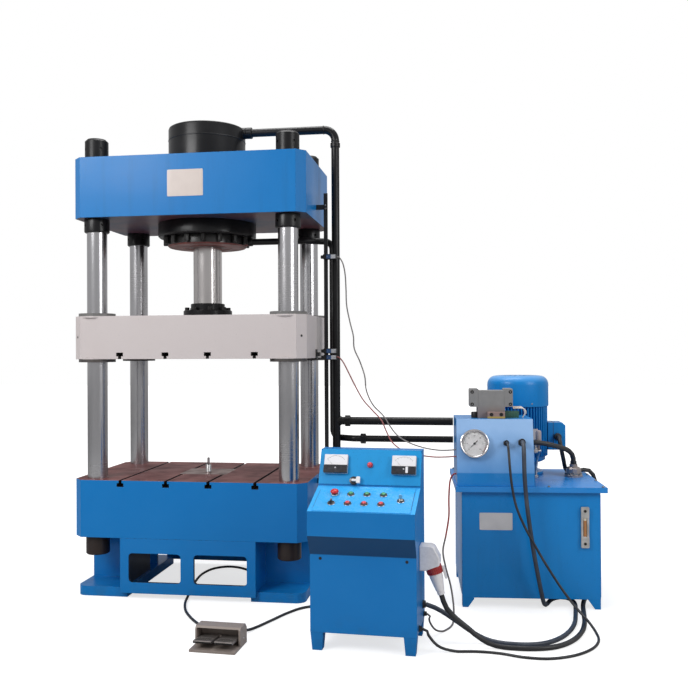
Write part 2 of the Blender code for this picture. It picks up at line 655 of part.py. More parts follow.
def press_columns(base, steel):
    """Each column carries its three round nuts, locked on with spanner holes."""
    column = COLUMN_DIAMETER / 2
    low_nut = BED_BOTTOM - GAP
    shoulder = CROSSHEAD_BOTTOM - GAP
    top_nut = CROSSHEAD_TOP + GAP
    nut_low = low_nut - COLUMN_NUT_HEIGHT
    nut_high = top_nut + COLUMN_NUT_HEIGHT
    bottom_nut, shoulder_nut = COLUMN_NUT_DIAMETER / 2, SHOULDER_NUT_DIAMETER / 2
    shoulder_low = shoulder - SHOULDER_NUT_HEIGHT
    profile = [(0, nut_low), (bottom_nut - NUT_CHAMFER, nut_low), (bottom_nut, nut_low + NUT_CHAMFER),
               (bottom_nut, low_nut), (column, low_nut), (column, shoulder_low),
               (shoulder_nut - NUT_CHAMFER, shoulder_low),
               (shoulder_nut, shoulder_low + NUT_CHAMFER), (shoulder_nut, shoulder), (column, shoulder),
               (column, top_nut),
               (bottom_nut, top_nut), (bottom_nut, nut_high - NUT_CHAMFER),
               (bottom_nut - NUT_CHAMFER, nut_high),
               (column, nut_high), (column, nut_high + COLUMN_END), (0, nut_high + COLUMN_END)]
    for name, (x, y) in column_places().items():
        shape = new_shape()
        turned(shape, profile, COLUMN_ROUND)
        made = piece("column_" + name, shape, steel, base, (x, y, 0))
        holes = new_shape()
        rings = ((shoulder - SHOULDER_NUT_HEIGHT / 2, SHOULDER_NUT_DIAMETER / 2),
                 (nut_high - COLUMN_NUT_HEIGHT / 2, COLUMN_NUT_DIAMETER / 2))
        for height, radius in rings:
            for quarter in range(4):
                verts = rod(holes, 0.009, radius - 0.008, radius + 0.01, HOLE_ROUND)
                turn = Matrix.Rotation(math.radians(45 + 90 * quarter), 4,
                                       "Z") @ Matrix.Rotation(math.pi / 2, 4, "Y")
                moved(holes, verts, (0, 0, height), turn)
        cut(made, holes)


def press_crosshead(base, paint):
    shape = new_shape()
    prism(shape, chamfered(BEAM_WIDTH, BEAM_DEPTH, BEAM_CHAMFER), CROSSHEAD_BOTTOM, CROSSHEAD_TOP)
    crosshead = piece("crosshead", shape, paint, base)
    holes = new_shape()
    for centre in column_places().values():
        rod(holes, COLUMN_DIAMETER / 2 + FIT, CROSSHEAD_BOTTOM - 0.01, CROSSHEAD_TOP + 0.01, COLUMN_ROUND,
            centre)
    rod(holes, BARREL_DIAMETER / 2 + FIT, CROSSHEAD_BOTTOM - 0.01, CROSSHEAD_TOP + 0.01, BARREL_ROUND)
    cut(crosshead, holes)


def bolt_heads(shape, count, circle_radius, low, high, radius, sides=6):
    for i in range(count):
        angle = math.tau * (i + 0.5) / count
        rod(shape, radius, low, high, sides,
            (circle_radius * math.cos(angle), circle_radius * math.sin(angle)))


def press_cylinder(base, black):
    outer, flange, bore = BARREL_DIAMETER / 2, BARREL_FLANGE_DIAMETER / 2, BORE_DIAMETER / 2
    shape = new_shape()
    turned(shape, [(bore, BARREL_BOTTOM), (flange - 0.008, BARREL_BOTTOM), (flange, BARREL_BOTTOM + 0.008),
                   (flange, CROSSHEAD_BOTTOM - GAP), (outer, CROSSHEAD_BOTTOM - GAP),
                   (outer, BARREL_TOP - 0.012),
                   (outer - 0.012, BARREL_TOP), (0, BARREL_TOP), (0, BARREL_TOP - BARREL_CAP),
                   (bore, BARREL_TOP - BARREL_CAP)], BARREL_ROUND)
    barrel = piece("cylinder_barrel", shape, black, base)
    port = new_shape()
    rod(port, 0.036, outer - 0.02, outer + 0.018, SMALL_ROUND, axis="x")
    moved(port, list(port.verts), (0, 0, PIPE_TOP))
    weld(barrel, port)

    ring = GLAND_DIAMETER / 2
    gland_shape = new_shape()
    turned(gland_shape, [(ROD_DIAMETER / 2 + FIT, GLAND_BOTTOM), (ring - 0.008, GLAND_BOTTOM),
                         (ring, GLAND_BOTTOM + 0.008), (ring, BARREL_BOTTOM - GAP),
                         (bore - FIT, BARREL_BOTTOM - GAP),
                         (bore - FIT, BARREL_BOTTOM + GLAND_SPIGOT),
                         (ROD_DIAMETER / 2 + FIT, BARREL_BOTTOM + GLAND_SPIGOT)],
           BARREL_ROUND)
    gland = piece("cylinder_gland", gland_shape, black, base)
    heads = new_shape()
    bolt_heads(heads, 12, ring - GLAND_BOLT_INSET, GLAND_BOTTOM - 0.016, GLAND_BOTTOM + 0.01, 0.017)
    rod(heads, 0.026, ring - 0.02, ring + 0.02, SMALL_ROUND, (0, RETURN_TOP), axis="x")
    weld(gland, heads)


def press_slide(slider, cream, black, steel):
    shape = new_shape()
    prism(shape, chamfered(BEAM_WIDTH, BEAM_DEPTH, BEAM_CHAMFER), SLIDE_BOTTOM, SLIDE_TOP)
    slide = piece("slide", shape, cream, slider)
    flanges = new_shape()
    flange = BUSH_FLANGE_DIAMETER / 2
    for centre in column_places().values():
        rod(flanges, flange, SLIDE_BOTTOM - BUSH_FLANGE_THICKNESS, SLIDE_BOTTOM + BUSH_SEAT, COLUMN_ROUND,
            centre)
        rod(flanges, flange, SLIDE_TOP - BUSH_SEAT, SLIDE_TOP + BUSH_FLANGE_THICKNESS, COLUMN_ROUND, centre)
    side = BEAM_WIDTH / 2
    middle = sum(SWITCH_HEIGHTS[1:]) / 2
    outline = [(side - 0.01, middle - 0.03), (side + 0.008, middle - 0.03), (side + 0.008, middle - 0.012),
               (side + 0.026, middle - 0.012), (side + 0.026, middle + 0.012),
               (side + 0.008, middle + 0.012),
               (side + 0.008, middle + 0.03), (side - 0.01, middle + 0.03)]
    prism(flanges, outline, RAIL_Y - 0.045, RAIL_Y - 0.005, axis="y")
    weld(slide, flanges)
    holes = new_shape()
    for centre in column_places().values():
        rod(holes, COLUMN_DIAMETER / 2 + FIT, SLIDE_BOTTOM - 0.1, SLIDE_TOP + 0.1, COLUMN_ROUND, centre)
    cut(slide, holes)
    slots = new_shape()
    slot_cutters(slots, SLIDE_BOTTOM, False, BEAM_DEPTH)
    cut(slide, slots)

    clamp = new_shape()
    clamp_low = SLIDE_TOP + GAP
    turned(clamp, [(ROD_DIAMETER / 2 + GAP, clamp_low), (ROD_FLANGE_DIAMETER / 2, clamp_low),
                   (ROD_FLANGE_DIAMETER / 2, clamp_low + ROD_FLANGE_THICKNESS - 0.005),
                   (ROD_FLANGE_DIAMETER / 2 - 0.005, clamp_low + ROD_FLANGE_THICKNESS),
                   (ROD_HUB_DIAMETER / 2, clamp_low + ROD_FLANGE_THICKNESS),
                   (ROD_HUB_DIAMETER / 2, clamp_low + ROD_HUB_HEIGHT),
                   (ROD_DIAMETER / 2 + GAP, clamp_low + ROD_HUB_HEIGHT)],
           BARREL_ROUND)
    rod_flange = piece("rod_flange", clamp, black, slider)
    heads = new_shape()
    bolt_heads(heads, 8, (ROD_FLANGE_DIAMETER + ROD_HUB_DIAMETER) / 4,
               clamp_low + ROD_FLANGE_THICKNESS - 0.01,
               clamp_low + ROD_FLANGE_THICKNESS + 0.020, 0.015)
    weld(rod_flange, heads)

    piston = new_shape()
    radius = ROD_DIAMETER / 2
    turned(piston, [(0, SLIDE_TOP + GAP), (radius, SLIDE_TOP + GAP), (radius, PISTON_BOTTOM),
                    (BORE_DIAMETER / 2 - FIT, PISTON_BOTTOM),
                    (BORE_DIAMETER / 2 - FIT, PISTON_BOTTOM + PISTON_THICKNESS),
                    (0, PISTON_BOTTOM + PISTON_THICKNESS)], BARREL_ROUND)
    piece("piston_rod", piston, steel, slider)


def press_ejector(base, lifter, steel, black):
    outer, bore, rod_radius = EJECTOR_BARREL_DIAMETER / 2, EJECTOR_BORE_DIAMETER / 2, EJECTOR_DIAMETER / 2
    seat = BED_TOP - CENTRE_PLATE_THICKNESS - EJECTOR_LAND - GAP
    floor = seat - EJECTOR_BARREL_LENGTH
    barrel = new_shape()
    turned(barrel, [(0, floor), (outer - 0.004, floor), (outer, floor + 0.004), (outer, seat),
                    (rod_radius + FIT, seat),
                    (rod_radius + FIT, seat - EJECTOR_WALL), (bore, seat - EJECTOR_WALL),
                    (bore, floor + EJECTOR_WALL),
                    (0, floor + EJECTOR_WALL)])
    piece("ejector_cylinder", barrel, black, base)
    top = BED_TOP + EJECTOR_STANDING
    piston_low = floor + EJECTOR_WALL + EJECTOR_DOWN + 0.008
    shape = new_shape()
    turned(shape, [(0, piston_low), (bore - FIT, piston_low), (bore - FIT,
                                                               piston_low + EJECTOR_PISTON_THICKNESS),
                   (rod_radius, piston_low + EJECTOR_PISTON_THICKNESS),
                   (rod_radius, top - EJECTOR_TIP_LENGTH),
                   (EJECTOR_TIP_DIAMETER / 2, top - EJECTOR_TIP_LENGTH + 0.006),
                   (EJECTOR_TIP_DIAMETER / 2, top - 0.003),
                   (EJECTOR_TIP_DIAMETER / 2 - 0.003, top), (0, top)], SMALL_ROUND)
    piece("ejector_rod", shape, steel, lifter)


def press_switches(base, black):
    """The rail is clamped to the bed and the crosshead and carries three limit switches."""
    rail = new_shape()
    y_back = RAIL_Y + RAIL_THICKNESS
    box(rail, (RAIL_X - RAIL_WIDTH / 2, RAIL_Y, RAIL_BOTTOM), (RAIL_X + RAIL_WIDTH / 2, y_back, RAIL_TOP))
    made = piece("switch_rail", rail, black, base)
    side = BEAM_WIDTH / 2 + GAP
    fittings = new_shape()
    for height in ((CROSSHEAD_BOTTOM + RAIL_TOP) / 2, (RAIL_BOTTOM + BED_TOP) / 2):
        box(fittings, (side, RAIL_Y + 0.004, height - 0.015),
            (RAIL_X + 0.006, RAIL_Y + 0.016, height + 0.015))
    for height in SWITCH_HEIGHTS:
        low, high = height - SWITCH_SIZE / 2, height + SWITCH_SIZE / 2
        prism(fittings, rounded(RAIL_X - 0.012, low, RAIL_X + 0.068, high, 0.005, 2), RAIL_Y - 0.034,
              RAIL_Y + 0.002, axis="y")
    weld(made, fittings)
    knobs = new_shape()
    for height in SWITCH_HEIGHTS:
        rod(knobs, 0.011, RAIL_X - 0.028, RAIL_X - 0.008, HOLE_ROUND, (RAIL_Y - 0.016, height), axis="x")
    weld(made, knobs)


def press_pipes(base, black, stand_face):
    """Both lines leave the main cylinder, drop beside the press and branch across to the valve stand."""
    outer = BARREL_DIAMETER / 2
    radius = PIPE_DIAMETER / 2
    port = outer + 0.018 + GAP
    bed_side = BEAM_WIDTH / 2 + GAP
    route = tube_path([(port, 0, PIPE_TOP), (PIPE_X, 0, PIPE_TOP), (PIPE_X, 0, PIPE_END_HEIGHT),
                       (bed_side, 0, PIPE_END_HEIGHT)], BEND_RADIUS)
    main = new_shape()
    tube(main, route, radius, 10)
    made = piece("main_pipe", main, black, base)
    branch = new_shape()
    tube(branch, [Vector((PIPE_X, 0, PIPE_BRANCH_HEIGHT)), Vector((stand_face, 0, PIPE_BRANCH_HEIGHT))],
         radius, 12)
    weld(made, branch)
    collars = new_shape()
    rod(collars, radius + 0.012, port, port + 0.035, SMALL_ROUND, (0, PIPE_TOP), axis="x")
    rod(collars, radius + 0.010, PIPE_X + 0.055, PIPE_X + 0.087, 6, (0, PIPE_BRANCH_HEIGHT), axis="x")
    rod(collars, radius + 0.006, PIPE_TOP - BEND_RADIUS - 0.045, PIPE_TOP - BEND_RADIUS - 0.015,
        SMALL_ROUND, (PIPE_X, 0))
    weld(made, collars)

    thin = RETURN_DIAMETER / 2
    gland_port = GLAND_DIAMETER / 2 + 0.02 + GAP
    route = tube_path([(gland_port, 0, RETURN_TOP), (RETURN_X - 0.16, 0, RETURN_TOP),
                       (RETURN_X, RETURN_Y, RETURN_TOP),
                       (RETURN_X, RETURN_Y, RETURN_BRANCH_HEIGHT),
                       (RETURN_X + 0.14, 0, RETURN_BRANCH_HEIGHT),
                       (stand_face, 0, RETURN_BRANCH_HEIGHT)], 0.05)
    line = new_shape()
    tube(line, route, thin, 10)
    returned = piece("return_pipe", line, black, base)
    union = new_shape()
    rod(union, thin + 0.012, RETURN_X + 0.185, RETURN_X + 0.217, 6, (0, RETURN_BRANCH_HEIGHT), axis="x")
    weld(returned, union)


def console_cabinet(console, paint):
    half = CONSOLE_WIDTH / 2
    desk_rear = DESK_DEPTH - LIP_OVERHANG
    outline = [(0, CONSOLE_FOOT_HEIGHT), (0, CABINET_FRONT_TOP), (-LIP_OVERHANG, LIP_BOTTOM),
               (-LIP_OVERHANG, LIP_TOP),
               (desk_rear, LIP_TOP + DESK_RISE), (desk_rear + PANEL_LEAN, PANEL_TOP),
               (CONSOLE_DEPTH, PANEL_TOP),
               (CONSOLE_DEPTH, CONSOLE_FOOT_HEIGHT)]
    shape = new_shape()
    prism(shape, outline, -half, half, axis="x")
    cabinet = piece("console_cabinet", shape, paint, console)
    seat = frame("desk_seat", (0, -LIP_OVERHANG, LIP_TOP), 0, math.atan2(DESK_RISE, DESK_DEPTH), console)
    slope = math.hypot(DESK_DEPTH, DESK_RISE)
    pocket = new_shape()
    box(pocket, (-half + 0.03, 0.03, -0.07), (half - 0.03, slope - 0.03, 0.02))
    tool = cut(cabinet, pocket)
    tool.parent = seat
    face = frame("panel_seat", (0, desk_rear, LIP_TOP + DESK_RISE), 0,
                 math.atan2(PANEL_TOP - LIP_TOP - DESK_RISE, PANEL_LEAN), console)
    panel_height = math.hypot(PANEL_LEAN, PANEL_TOP - LIP_TOP - DESK_RISE)
    hood = new_shape()
    box(hood, (-half + 0.03, 0.012, -0.045), (half - 0.03, panel_height - 0.03, 0.02))
    tool = cut(cabinet, hood)
    tool.parent = face
    feet = new_shape()
    for x_side in (-1, 1):
        for y_mid in (CONSOLE_FOOT_WIDTH / 2, CONSOLE_DEPTH - CONSOLE_FOOT_WIDTH / 2):
            x_mid = x_side * (half - CONSOLE_FOOT_WIDTH / 2)
            verts = box(feet, (-CONSOLE_FOOT_WIDTH / 2, -CONSOLE_FOOT_WIDTH / 2, 0),
                        (CONSOLE_FOOT_WIDTH / 2, CONSOLE_FOOT_WIDTH / 2, CONSOLE_FOOT_HEIGHT + 0.01))
            for vert in verts:
                if vert.co.z < 0.01:
                    vert.co.x *= 1 - 2 * CONSOLE_FOOT_TAPER / CONSOLE_FOOT_WIDTH
                    vert.co.y *= 1 - 2 * CONSOLE_FOOT_TAPER / CONSOLE_FOOT_WIDTH
            moved(feet, verts, (x_mid, y_mid, 0))
    weld(cabinet, feet)
    return seat, face, slope, panel_height


def desk_places():
    """The bezelled controls of the desk: name, across, up the slope."""
    places = [("emergency_stop", DESK_COLUMNS[0], REAR_ROW),
              ("selector_switch", DESK_COLUMNS[0], FRONT_ROW)]
    for number, column in enumerate(DESK_COLUMNS[1:], 1):
        places.append((f"green_button_{number}", column, REAR_ROW))
        places.append((f"red_button_{number}", column, FRONT_ROW))
    places.append(("key_switch", KEY_COLUMN, KEY_ROW))
    return places


def console_desk(seat, slope, paint):
    half = CONSOLE_WIDTH / 2
    shape = new_shape()
    box(shape, (-half + 0.022, 0.004, GAP), (half - 0.022, slope - 0.006, SHEET + GAP))
    desk = piece("console_desk", shape, paint, seat)
    bezels = new_shape()
    holes = new_shape()
    for _, x, y in desk_places():
        rod(bezels, BEZEL_DIAMETER / 2, SHEET / 2, SHEET + BEZEL_HEIGHT, BUTTON_ROUND, (x, y))
        rod(holes, BUTTON_DIAMETER / 2 + FIT, -0.02, 0.05, BUTTON_ROUND, (x, y))
    weld(desk, bezels)
    cut(desk, holes)


def button(name, x, y, seat, surface):
    """A push button on its stem; it drops into its bezel by its travel."""
    foot = SHEET + 0.001 + BUTTON_TRAVEL + FIT
    radius = BUTTON_DIAMETER / 2
    shape = new_shape()
    turned(shape, [(0, -STEM_LENGTH), (STEM_DIAMETER / 2, -STEM_LENGTH), (STEM_DIAMETER / 2, foot),
                   (radius, foot),
                   (radius, foot + BUTTON_HEIGHT - 0.002), (radius - 0.002, foot + BUTTON_HEIGHT),
                   (0, foot + BUTTON_HEIGHT)],
           BUTTON_ROUND)
    piece(name, shape, surface, seat, (x, y, 0))


def console_controls(seat, green, red, black, steel):
    for name, x, y in desk_places():
        if "button" in name:
            button(name, x, y, seat, green if "green" in name else red)
    top = SHEET + BEZEL_HEIGHT + MUSHROOM_TRAVEL + 0.001
    radius = MUSHROOM_DIAMETER / 2
    stop = new_shape()
    turned(stop, [(0, -STEM_LENGTH), (STEM_DIAMETER / 2, -STEM_LENGTH), (STEM_DIAMETER / 2, -0.004),
                  (BUTTON_DIAMETER / 2, -0.004), (BUTTON_DIAMETER / 2, top), (radius - 0.002, top),
                  (radius, top + 0.003), (radius - 0.002, top + 0.008), (radius - 0.008, top + 0.012),
                  (0, top + 0.014)],
           SMALL_ROUND)
    piece("emergency_stop", stop, red, seat, (DESK_COLUMNS[0], REAR_ROW, 0))

    knob = new_shape()
    foot = SHEET + 0.001 + FIT
    turned(knob, [(0, -STEM_LENGTH), (STEM_DIAMETER / 2, -STEM_LENGTH), (STEM_DIAMETER / 2, foot),
                  (BUTTON_DIAMETER / 2, foot), (BUTTON_DIAMETER / 2, foot + 0.007), (0, foot + 0.007)],
                  BUTTON_ROUND)
    selector = piece("selector_switch", knob, black, seat, (DESK_COLUMNS[0], FRONT_ROW, 0))
    bar = new_shape()
    prism(bar, rounded(-0.004, -0.0135, 0.004, 0.0135, 0.0035, 2), foot + 0.006, foot + 0.020)
    weld(selector, bar)

    lock = new_shape()
    turned(lock, [(0, -STEM_LENGTH), (STEM_DIAMETER / 2, -STEM_LENGTH), (STEM_DIAMETER / 2, foot),
                  (BUTTON_DIAMETER / 2, foot), (BUTTON_DIAMETER / 2, foot + 0.008), (0, foot + 0.008)],
           BUTTON_ROUND)
    key = piece("key_switch", lock, steel, seat, (KEY_COLUMN, KEY_ROW, 0))
    bow = new_shape()
    prism(bow, rounded(-0.009, foot + 0.004, 0.009, foot + 0.034, 0.006, 3), -0.0012, 0.0012, axis="y")
    weld(key, bow)


def console_panel(face, height, paint, white, red, black):
    """The upright meter panel: a sheet with its meters, lamp and main switch; local z is its normal."""
    half = CONSOLE_WIDTH / 2
    sheet = new_shape()
    prism(sheet, rounded(-half, 0.008, half, height, 0.018, 4, ("hh", "lh")), GAP, SHEET + GAP)
    panel = piece("console_panel", sheet, paint, face)
    holes = new_shape()
    rod(holes, STEM_DIAMETER / 2 + FIT, -0.02, 0.05, BUTTON_ROUND, (0, PANEL_MIDDLE))
    rod(holes, STEM_DIAMETER / 2 + FIT, -0.02, 0.05, BUTTON_ROUND, (MAIN_SWITCH_OFFSET, MAIN_SWITCH_HEIGHT))
    cut(panel, holes)
    front = SHEET + 2 * GAP
    for name, side in (("meter_left", -1), ("meter_right", 1)):
        middle = side * METER_OFFSET
        meter = new_shape()
        prism(meter, rounded(middle - METER_WIDTH / 2, PANEL_MIDDLE - METER_HEIGHT / 2,
                             middle + METER_WIDTH / 2,
                             PANEL_MIDDLE + METER_HEIGHT / 2, 0.006, 2), front, front + METER_DEPTH)
        made = piece(name, meter, white, face)
        dip = new_shape()
        box(dip, (middle - METER_WIDTH / 2 + 0.007, PANEL_MIDDLE - 0.008, front + METER_DEPTH - 0.002),
            (middle + METER_WIDTH / 2 - 0.007, PANEL_MIDDLE + METER_HEIGHT / 2 - 0.006,
             front + METER_DEPTH + 0.01))
        cut(made, dip)
    lamp = new_shape()
    radius = LAMP_DIAMETER / 2
    turned(lamp, [(0, -0.015), (STEM_DIAMETER / 2, -0.015), (STEM_DIAMETER / 2, front), (radius, front),
                  (radius, front + 0.005), (radius - 0.003, front + 0.006), (radius - 0.003, front + 0.013),
                  (radius - 0.007, front + 0.018), (0, front + 0.020)], SMALL_ROUND)
    piece("indicator_lamp", lamp, red, face, (0, PANEL_MIDDLE, 0))
    dial = new_shape()
    radius = MAIN_SWITCH_DIAMETER / 2
    turned(dial, [(0, -0.015), (STEM_DIAMETER / 2, -0.015), (STEM_DIAMETER / 2, front), (radius, front),
                  (radius, front + 0.006), (radius - 0.004, front + 0.009), (0, front + 0.009)],
                  SMALL_ROUND)
    switch = piece("main_switch", dial, black, face, (MAIN_SWITCH_OFFSET, MAIN_SWITCH_HEIGHT, 0))
    lever = new_shape()
    prism(lever, rounded(-0.010, -0.008, 0.036, 0.008, 0.006, 3), front + 0.007, front + 0.024)
    weld(switch, lever)


def console_inlet(console, white):
    """An angled appliance inlet on the right side, with its plug pushed in from below."""
    side = CONSOLE_WIDTH / 2 + GAP
    high = INLET_LOW + INLET_HEIGHT
    shape = new_shape()
    outline = [(side, INLET_LOW - 0.014), (side + 0.03, INLET_LOW - 0.014),
               (side + INLET_REACH, INLET_LOW + 0.014),
               (side + INLET_REACH, INLET_LOW + 0.05), (side + INLET_REACH - 0.028, high - 0.006),
               (side + INLET_REACH - 0.045, high), (side, high)]
    prism(shape, outline, INLET_BACK, INLET_BACK + INLET_WIDTH, axis="y")
    inlet = piece("power_inlet", shape, white, console)
    lean = Matrix.Rotation(-PLUG_TILT, 4, "Y")
    mouth = Vector((side + 0.066, INLET_BACK + INLET_WIDTH / 2, INLET_LOW + 0.002))
    collar = new_shape()
    rod(collar, COLLAR_DIAMETER / 2, -COLLAR_LENGTH, 0.02, SMALL_ROUND)
    prism(collar, rounded(COLLAR_DIAMETER / 2 - 0.004, -0.075, COLLAR_DIAMETER / 2 + 0.014, -0.006, 0.006,
                          2),
                  -0.012, 0.012, axis="y")
    moved(collar, list(collar.verts), mouth, lean)
    weld(inlet, collar)
    inlet.modifiers[-1].use_self = True
    plug = new_shape()
    start = -COLLAR_LENGTH - GAP
    end = start - PLUG_LENGTH
    radius, small = PLUG_DIAMETER / 2, PLUG_END_DIAMETER / 2
    turned(plug, [(0, end), (small - 0.004, end), (small, end + 0.004), (small, end + 0.020),
                  (small + 0.003, end + 0.022),
                  (radius, start - 0.035), (radius, start - 0.004), (radius - 0.002, start), (0, start)],
                  SMALL_ROUND)
    moved(plug, list(plug.verts), mouth, lean)
    piece("power_plug", plug, white, console)


def pack_tank(pack, paint, silver):
    half, deep = TANK_WIDTH / 2, TANK_DEPTH / 2
    top = LID_TOP - LID_THICKNESS - GAP
    shape = new_shape()
    box(shape, (-half, -deep, TANK_BOTTOM), (half, deep, top))
    tank = piece("oil_tank", shape, paint, pack)
    hollow = new_shape()
    box(hollow, (-half + TANK_WALL, -deep + TANK_WALL, TANK_BOTTOM + TANK_WALL),
        (half - TANK_WALL, deep - TANK_WALL, top + 0.05))
    cut(tank, hollow)
    feet = new_shape()
    for side in (-1, 1):
        for end in (-1, 1):
            outer = side * (half - 0.0005)
            outline = [(outer, 0), (outer - side * TANK_FOOT_TOE, 0),
                       (outer - side * TANK_FOOT_WIDTH, TANK_BOTTOM - 0.008),
                       (outer - side * TANK_FOOT_WIDTH, TANK_BOTTOM + 0.004), (outer, TANK_BOTTOM + 0.004)]
            low, high = sorted((end * (deep - 0.0005), end * (deep - 0.06)))
            prism(feet, outline, low, high, axis="y")
    weld(tank, feet)

    plate = new_shape()
    box(plate, (-LID_WIDTH / 2, -LID_DEPTH / 2, LID_TOP - LID_THICKNESS),
        (LID_WIDTH / 2, LID_DEPTH / 2, LID_TOP))
    lid = piece("tank_lid", plate, paint, pack)
    hole = new_shape()
    rod(hole, PUMP_RADIUS - 0.012, LID_TOP - 0.1, LID_TOP + 0.1, centre=MOTOR_PLACE)
    cut(lid, hole)
    head = new_shape()
    radius = FILTER_DIAMETER / 2
    turned(head, [(0, LID_TOP - 0.01), (radius, LID_TOP - 0.01), (radius, LID_TOP + 0.012),
                  (radius - 0.01, LID_TOP + 0.018),
                  (radius - 0.01, LID_TOP + 0.05), (radius - 0.02, LID_TOP + 0.06),
                  (0.024, LID_TOP + 0.062),
                  (0.024, LID_TOP + FILTER_HEIGHT), (0, LID_TOP + FILTER_HEIGHT)], SMALL_ROUND)
    moved(head, list(head.verts), (*FILTER_PLACE, 0))
    weld(lid, head)

    level = new_shape()
    front = -deep - GAP
    prism(level, rounded(LEVEL_X - LEVEL_WIDTH / 2, LEVEL_LOW, LEVEL_X + LEVEL_WIDTH / 2, LEVEL_HIGH,
                         0.008, 3),
          front - 0.018, front, axis="y")
    made = piece("level_gauge", level, silver, pack)
    sight = new_shape()
    box(sight, (LEVEL_X - 0.010, front - 0.03, LEVEL_LOW + 0.065),
        (LEVEL_X + 0.010, front - 0.010, LEVEL_HIGH - 0.065))
    cut(made, sight)


def pack_stand(pack, paint, white, black):
    low = LID_TOP + GAP
    outline = [(STAND_FRONT, low), (STAND_FRONT, STAND_FOLD), (STAND_FRONT + STAND_LEAN, STAND_TOP),
               (STAND_REAR, STAND_TOP),
               (STAND_REAR, low)]
    shape = new_shape()
    prism(shape, outline, STAND_LEFT, STAND_RIGHT, axis="x")
    stand = piece("valve_stand", shape, paint, pack)
    face = frame("stand_face", (0, STAND_FRONT, STAND_FOLD), 0,
                 math.atan2(STAND_TOP - STAND_FOLD, STAND_LEAN), pack)
    glands = new_shape()
    for (x, up), radius in ((THIN_GLAND, 0.014), (THICK_GLAND, 0.019)):
        rod(glands, radius + 0.003, -0.01, 0.014, 6, (x, up))
        rod(glands, radius, 0.010, GLAND_LENGTH, BUTTON_ROUND, (x, up))
    tool = weld(stand, glands)
    tool.parent = face
    stand.modifiers[-1].use_self = True

    radius = GAUGE_DIAMETER / 2
    case = new_shape()
    turned(case, [(0, GAP), (radius - 0.012, GAP), (radius - 0.012, GAUGE_DEPTH - 0.018),
                  (radius, GAUGE_DEPTH - 0.016),
                  (radius, GAUGE_DEPTH - 0.004), (radius - 0.004, GAUGE_DEPTH),
                  (radius - 0.010, GAUGE_DEPTH),
                  (radius - 0.012, GAUGE_DEPTH - 0.004), (radius - 0.012, GAUGE_DEPTH - GAUGE_DIP),
                  (0.006, GAUGE_DEPTH - GAUGE_DIP),
                  (0.006, GAUGE_DEPTH - GAUGE_DIP - 0.006), (0, GAUGE_DEPTH - GAUGE_DIP - 0.006)], ROUND)
    piece("pressure_gauge", case, white, face, (GAUGE_X, GAUGE_UP, 0))
    pointer = new_shape()
    foot = GAUGE_DEPTH - GAUGE_DIP
    turned(pointer, [(0, foot - 0.006 + GAP), (0.006 - FIT, foot - 0.006 + GAP),
                     (0.006 - FIT, foot + 0.001),
                     (0.008, foot + 0.001), (0.008, foot + 0.005), (0, foot + 0.005)], BUTTON_ROUND)
    needle = piece("gauge_needle", pointer, black, face, (GAUGE_X, GAUGE_UP, 0),
                   (0, 0, math.radians(NEEDLE_REST)))
    blade = new_shape()
    prism(blade, [(-0.016, -0.003), (NEEDLE_LENGTH, -0.0008), (NEEDLE_LENGTH, 0.0008), (-0.016, 0.003)],
          foot + 0.002, foot + 0.004)
    weld(needle, blade)
    return face


def pack_valve(pack, grey, bronze):
    x, y = VALVE_PLACE
    low = STAND_TOP + GAP
    base_half, half, deep = VALVE_BASE_WIDTH / 2, VALVE_WIDTH / 2, VALVE_DEPTH / 2
    mid, high = low + VALVE_BASE_HEIGHT, low + VALVE_HEIGHT
    outline = [(-base_half, low), (base_half, low), (base_half, mid), (half, mid), (half, high - 0.004),
               (half - 0.004, high),
               (base_half + 0.006, high), (base_half, high - 0.010), (-base_half, high - 0.010),
               (-base_half - 0.006, high),
               (-half + 0.004, high), (-half, high - 0.004), (-half, mid), (-base_half, mid)]
    shape = new_shape()
    prism(shape, [(x + u, v) for u, v in outline], y - deep, y + deep, axis="y")
    valve = piece("directional_valve", shape, grey, pack)
    screws = new_shape()
    for side in (-1, 1):
        for row in (mid + 0.018, high - 0.020):
            rod(screws, 0.009, y - deep - 0.01, y - deep + 0.02, HOLE_ROUND,
                (x + side * (half - 0.030), row), axis="y")
    cut(valve, screws)
    elbow = new_shape()
    rod(elbow, 0.024, low + 0.0005, low + 0.034, BUTTON_ROUND, (x - base_half - 0.012, y - 0.01))
    weld(valve, elbow)

    block = new_shape()
    front = y - deep - GAP
    box(block, (x - 0.025, front - 0.040, low), (x + 0.075, front, low + 0.038))
    relief = piece("relief_valve", block, bronze, pack)
    holes = new_shape()
    for side in (-1, 1):
        rod(holes, 0.010, front - 0.06, front - 0.02, HOLE_ROUND, (x + 0.025 + side * 0.028, low + 0.020),
            axis="y")
    cut(relief, holes)


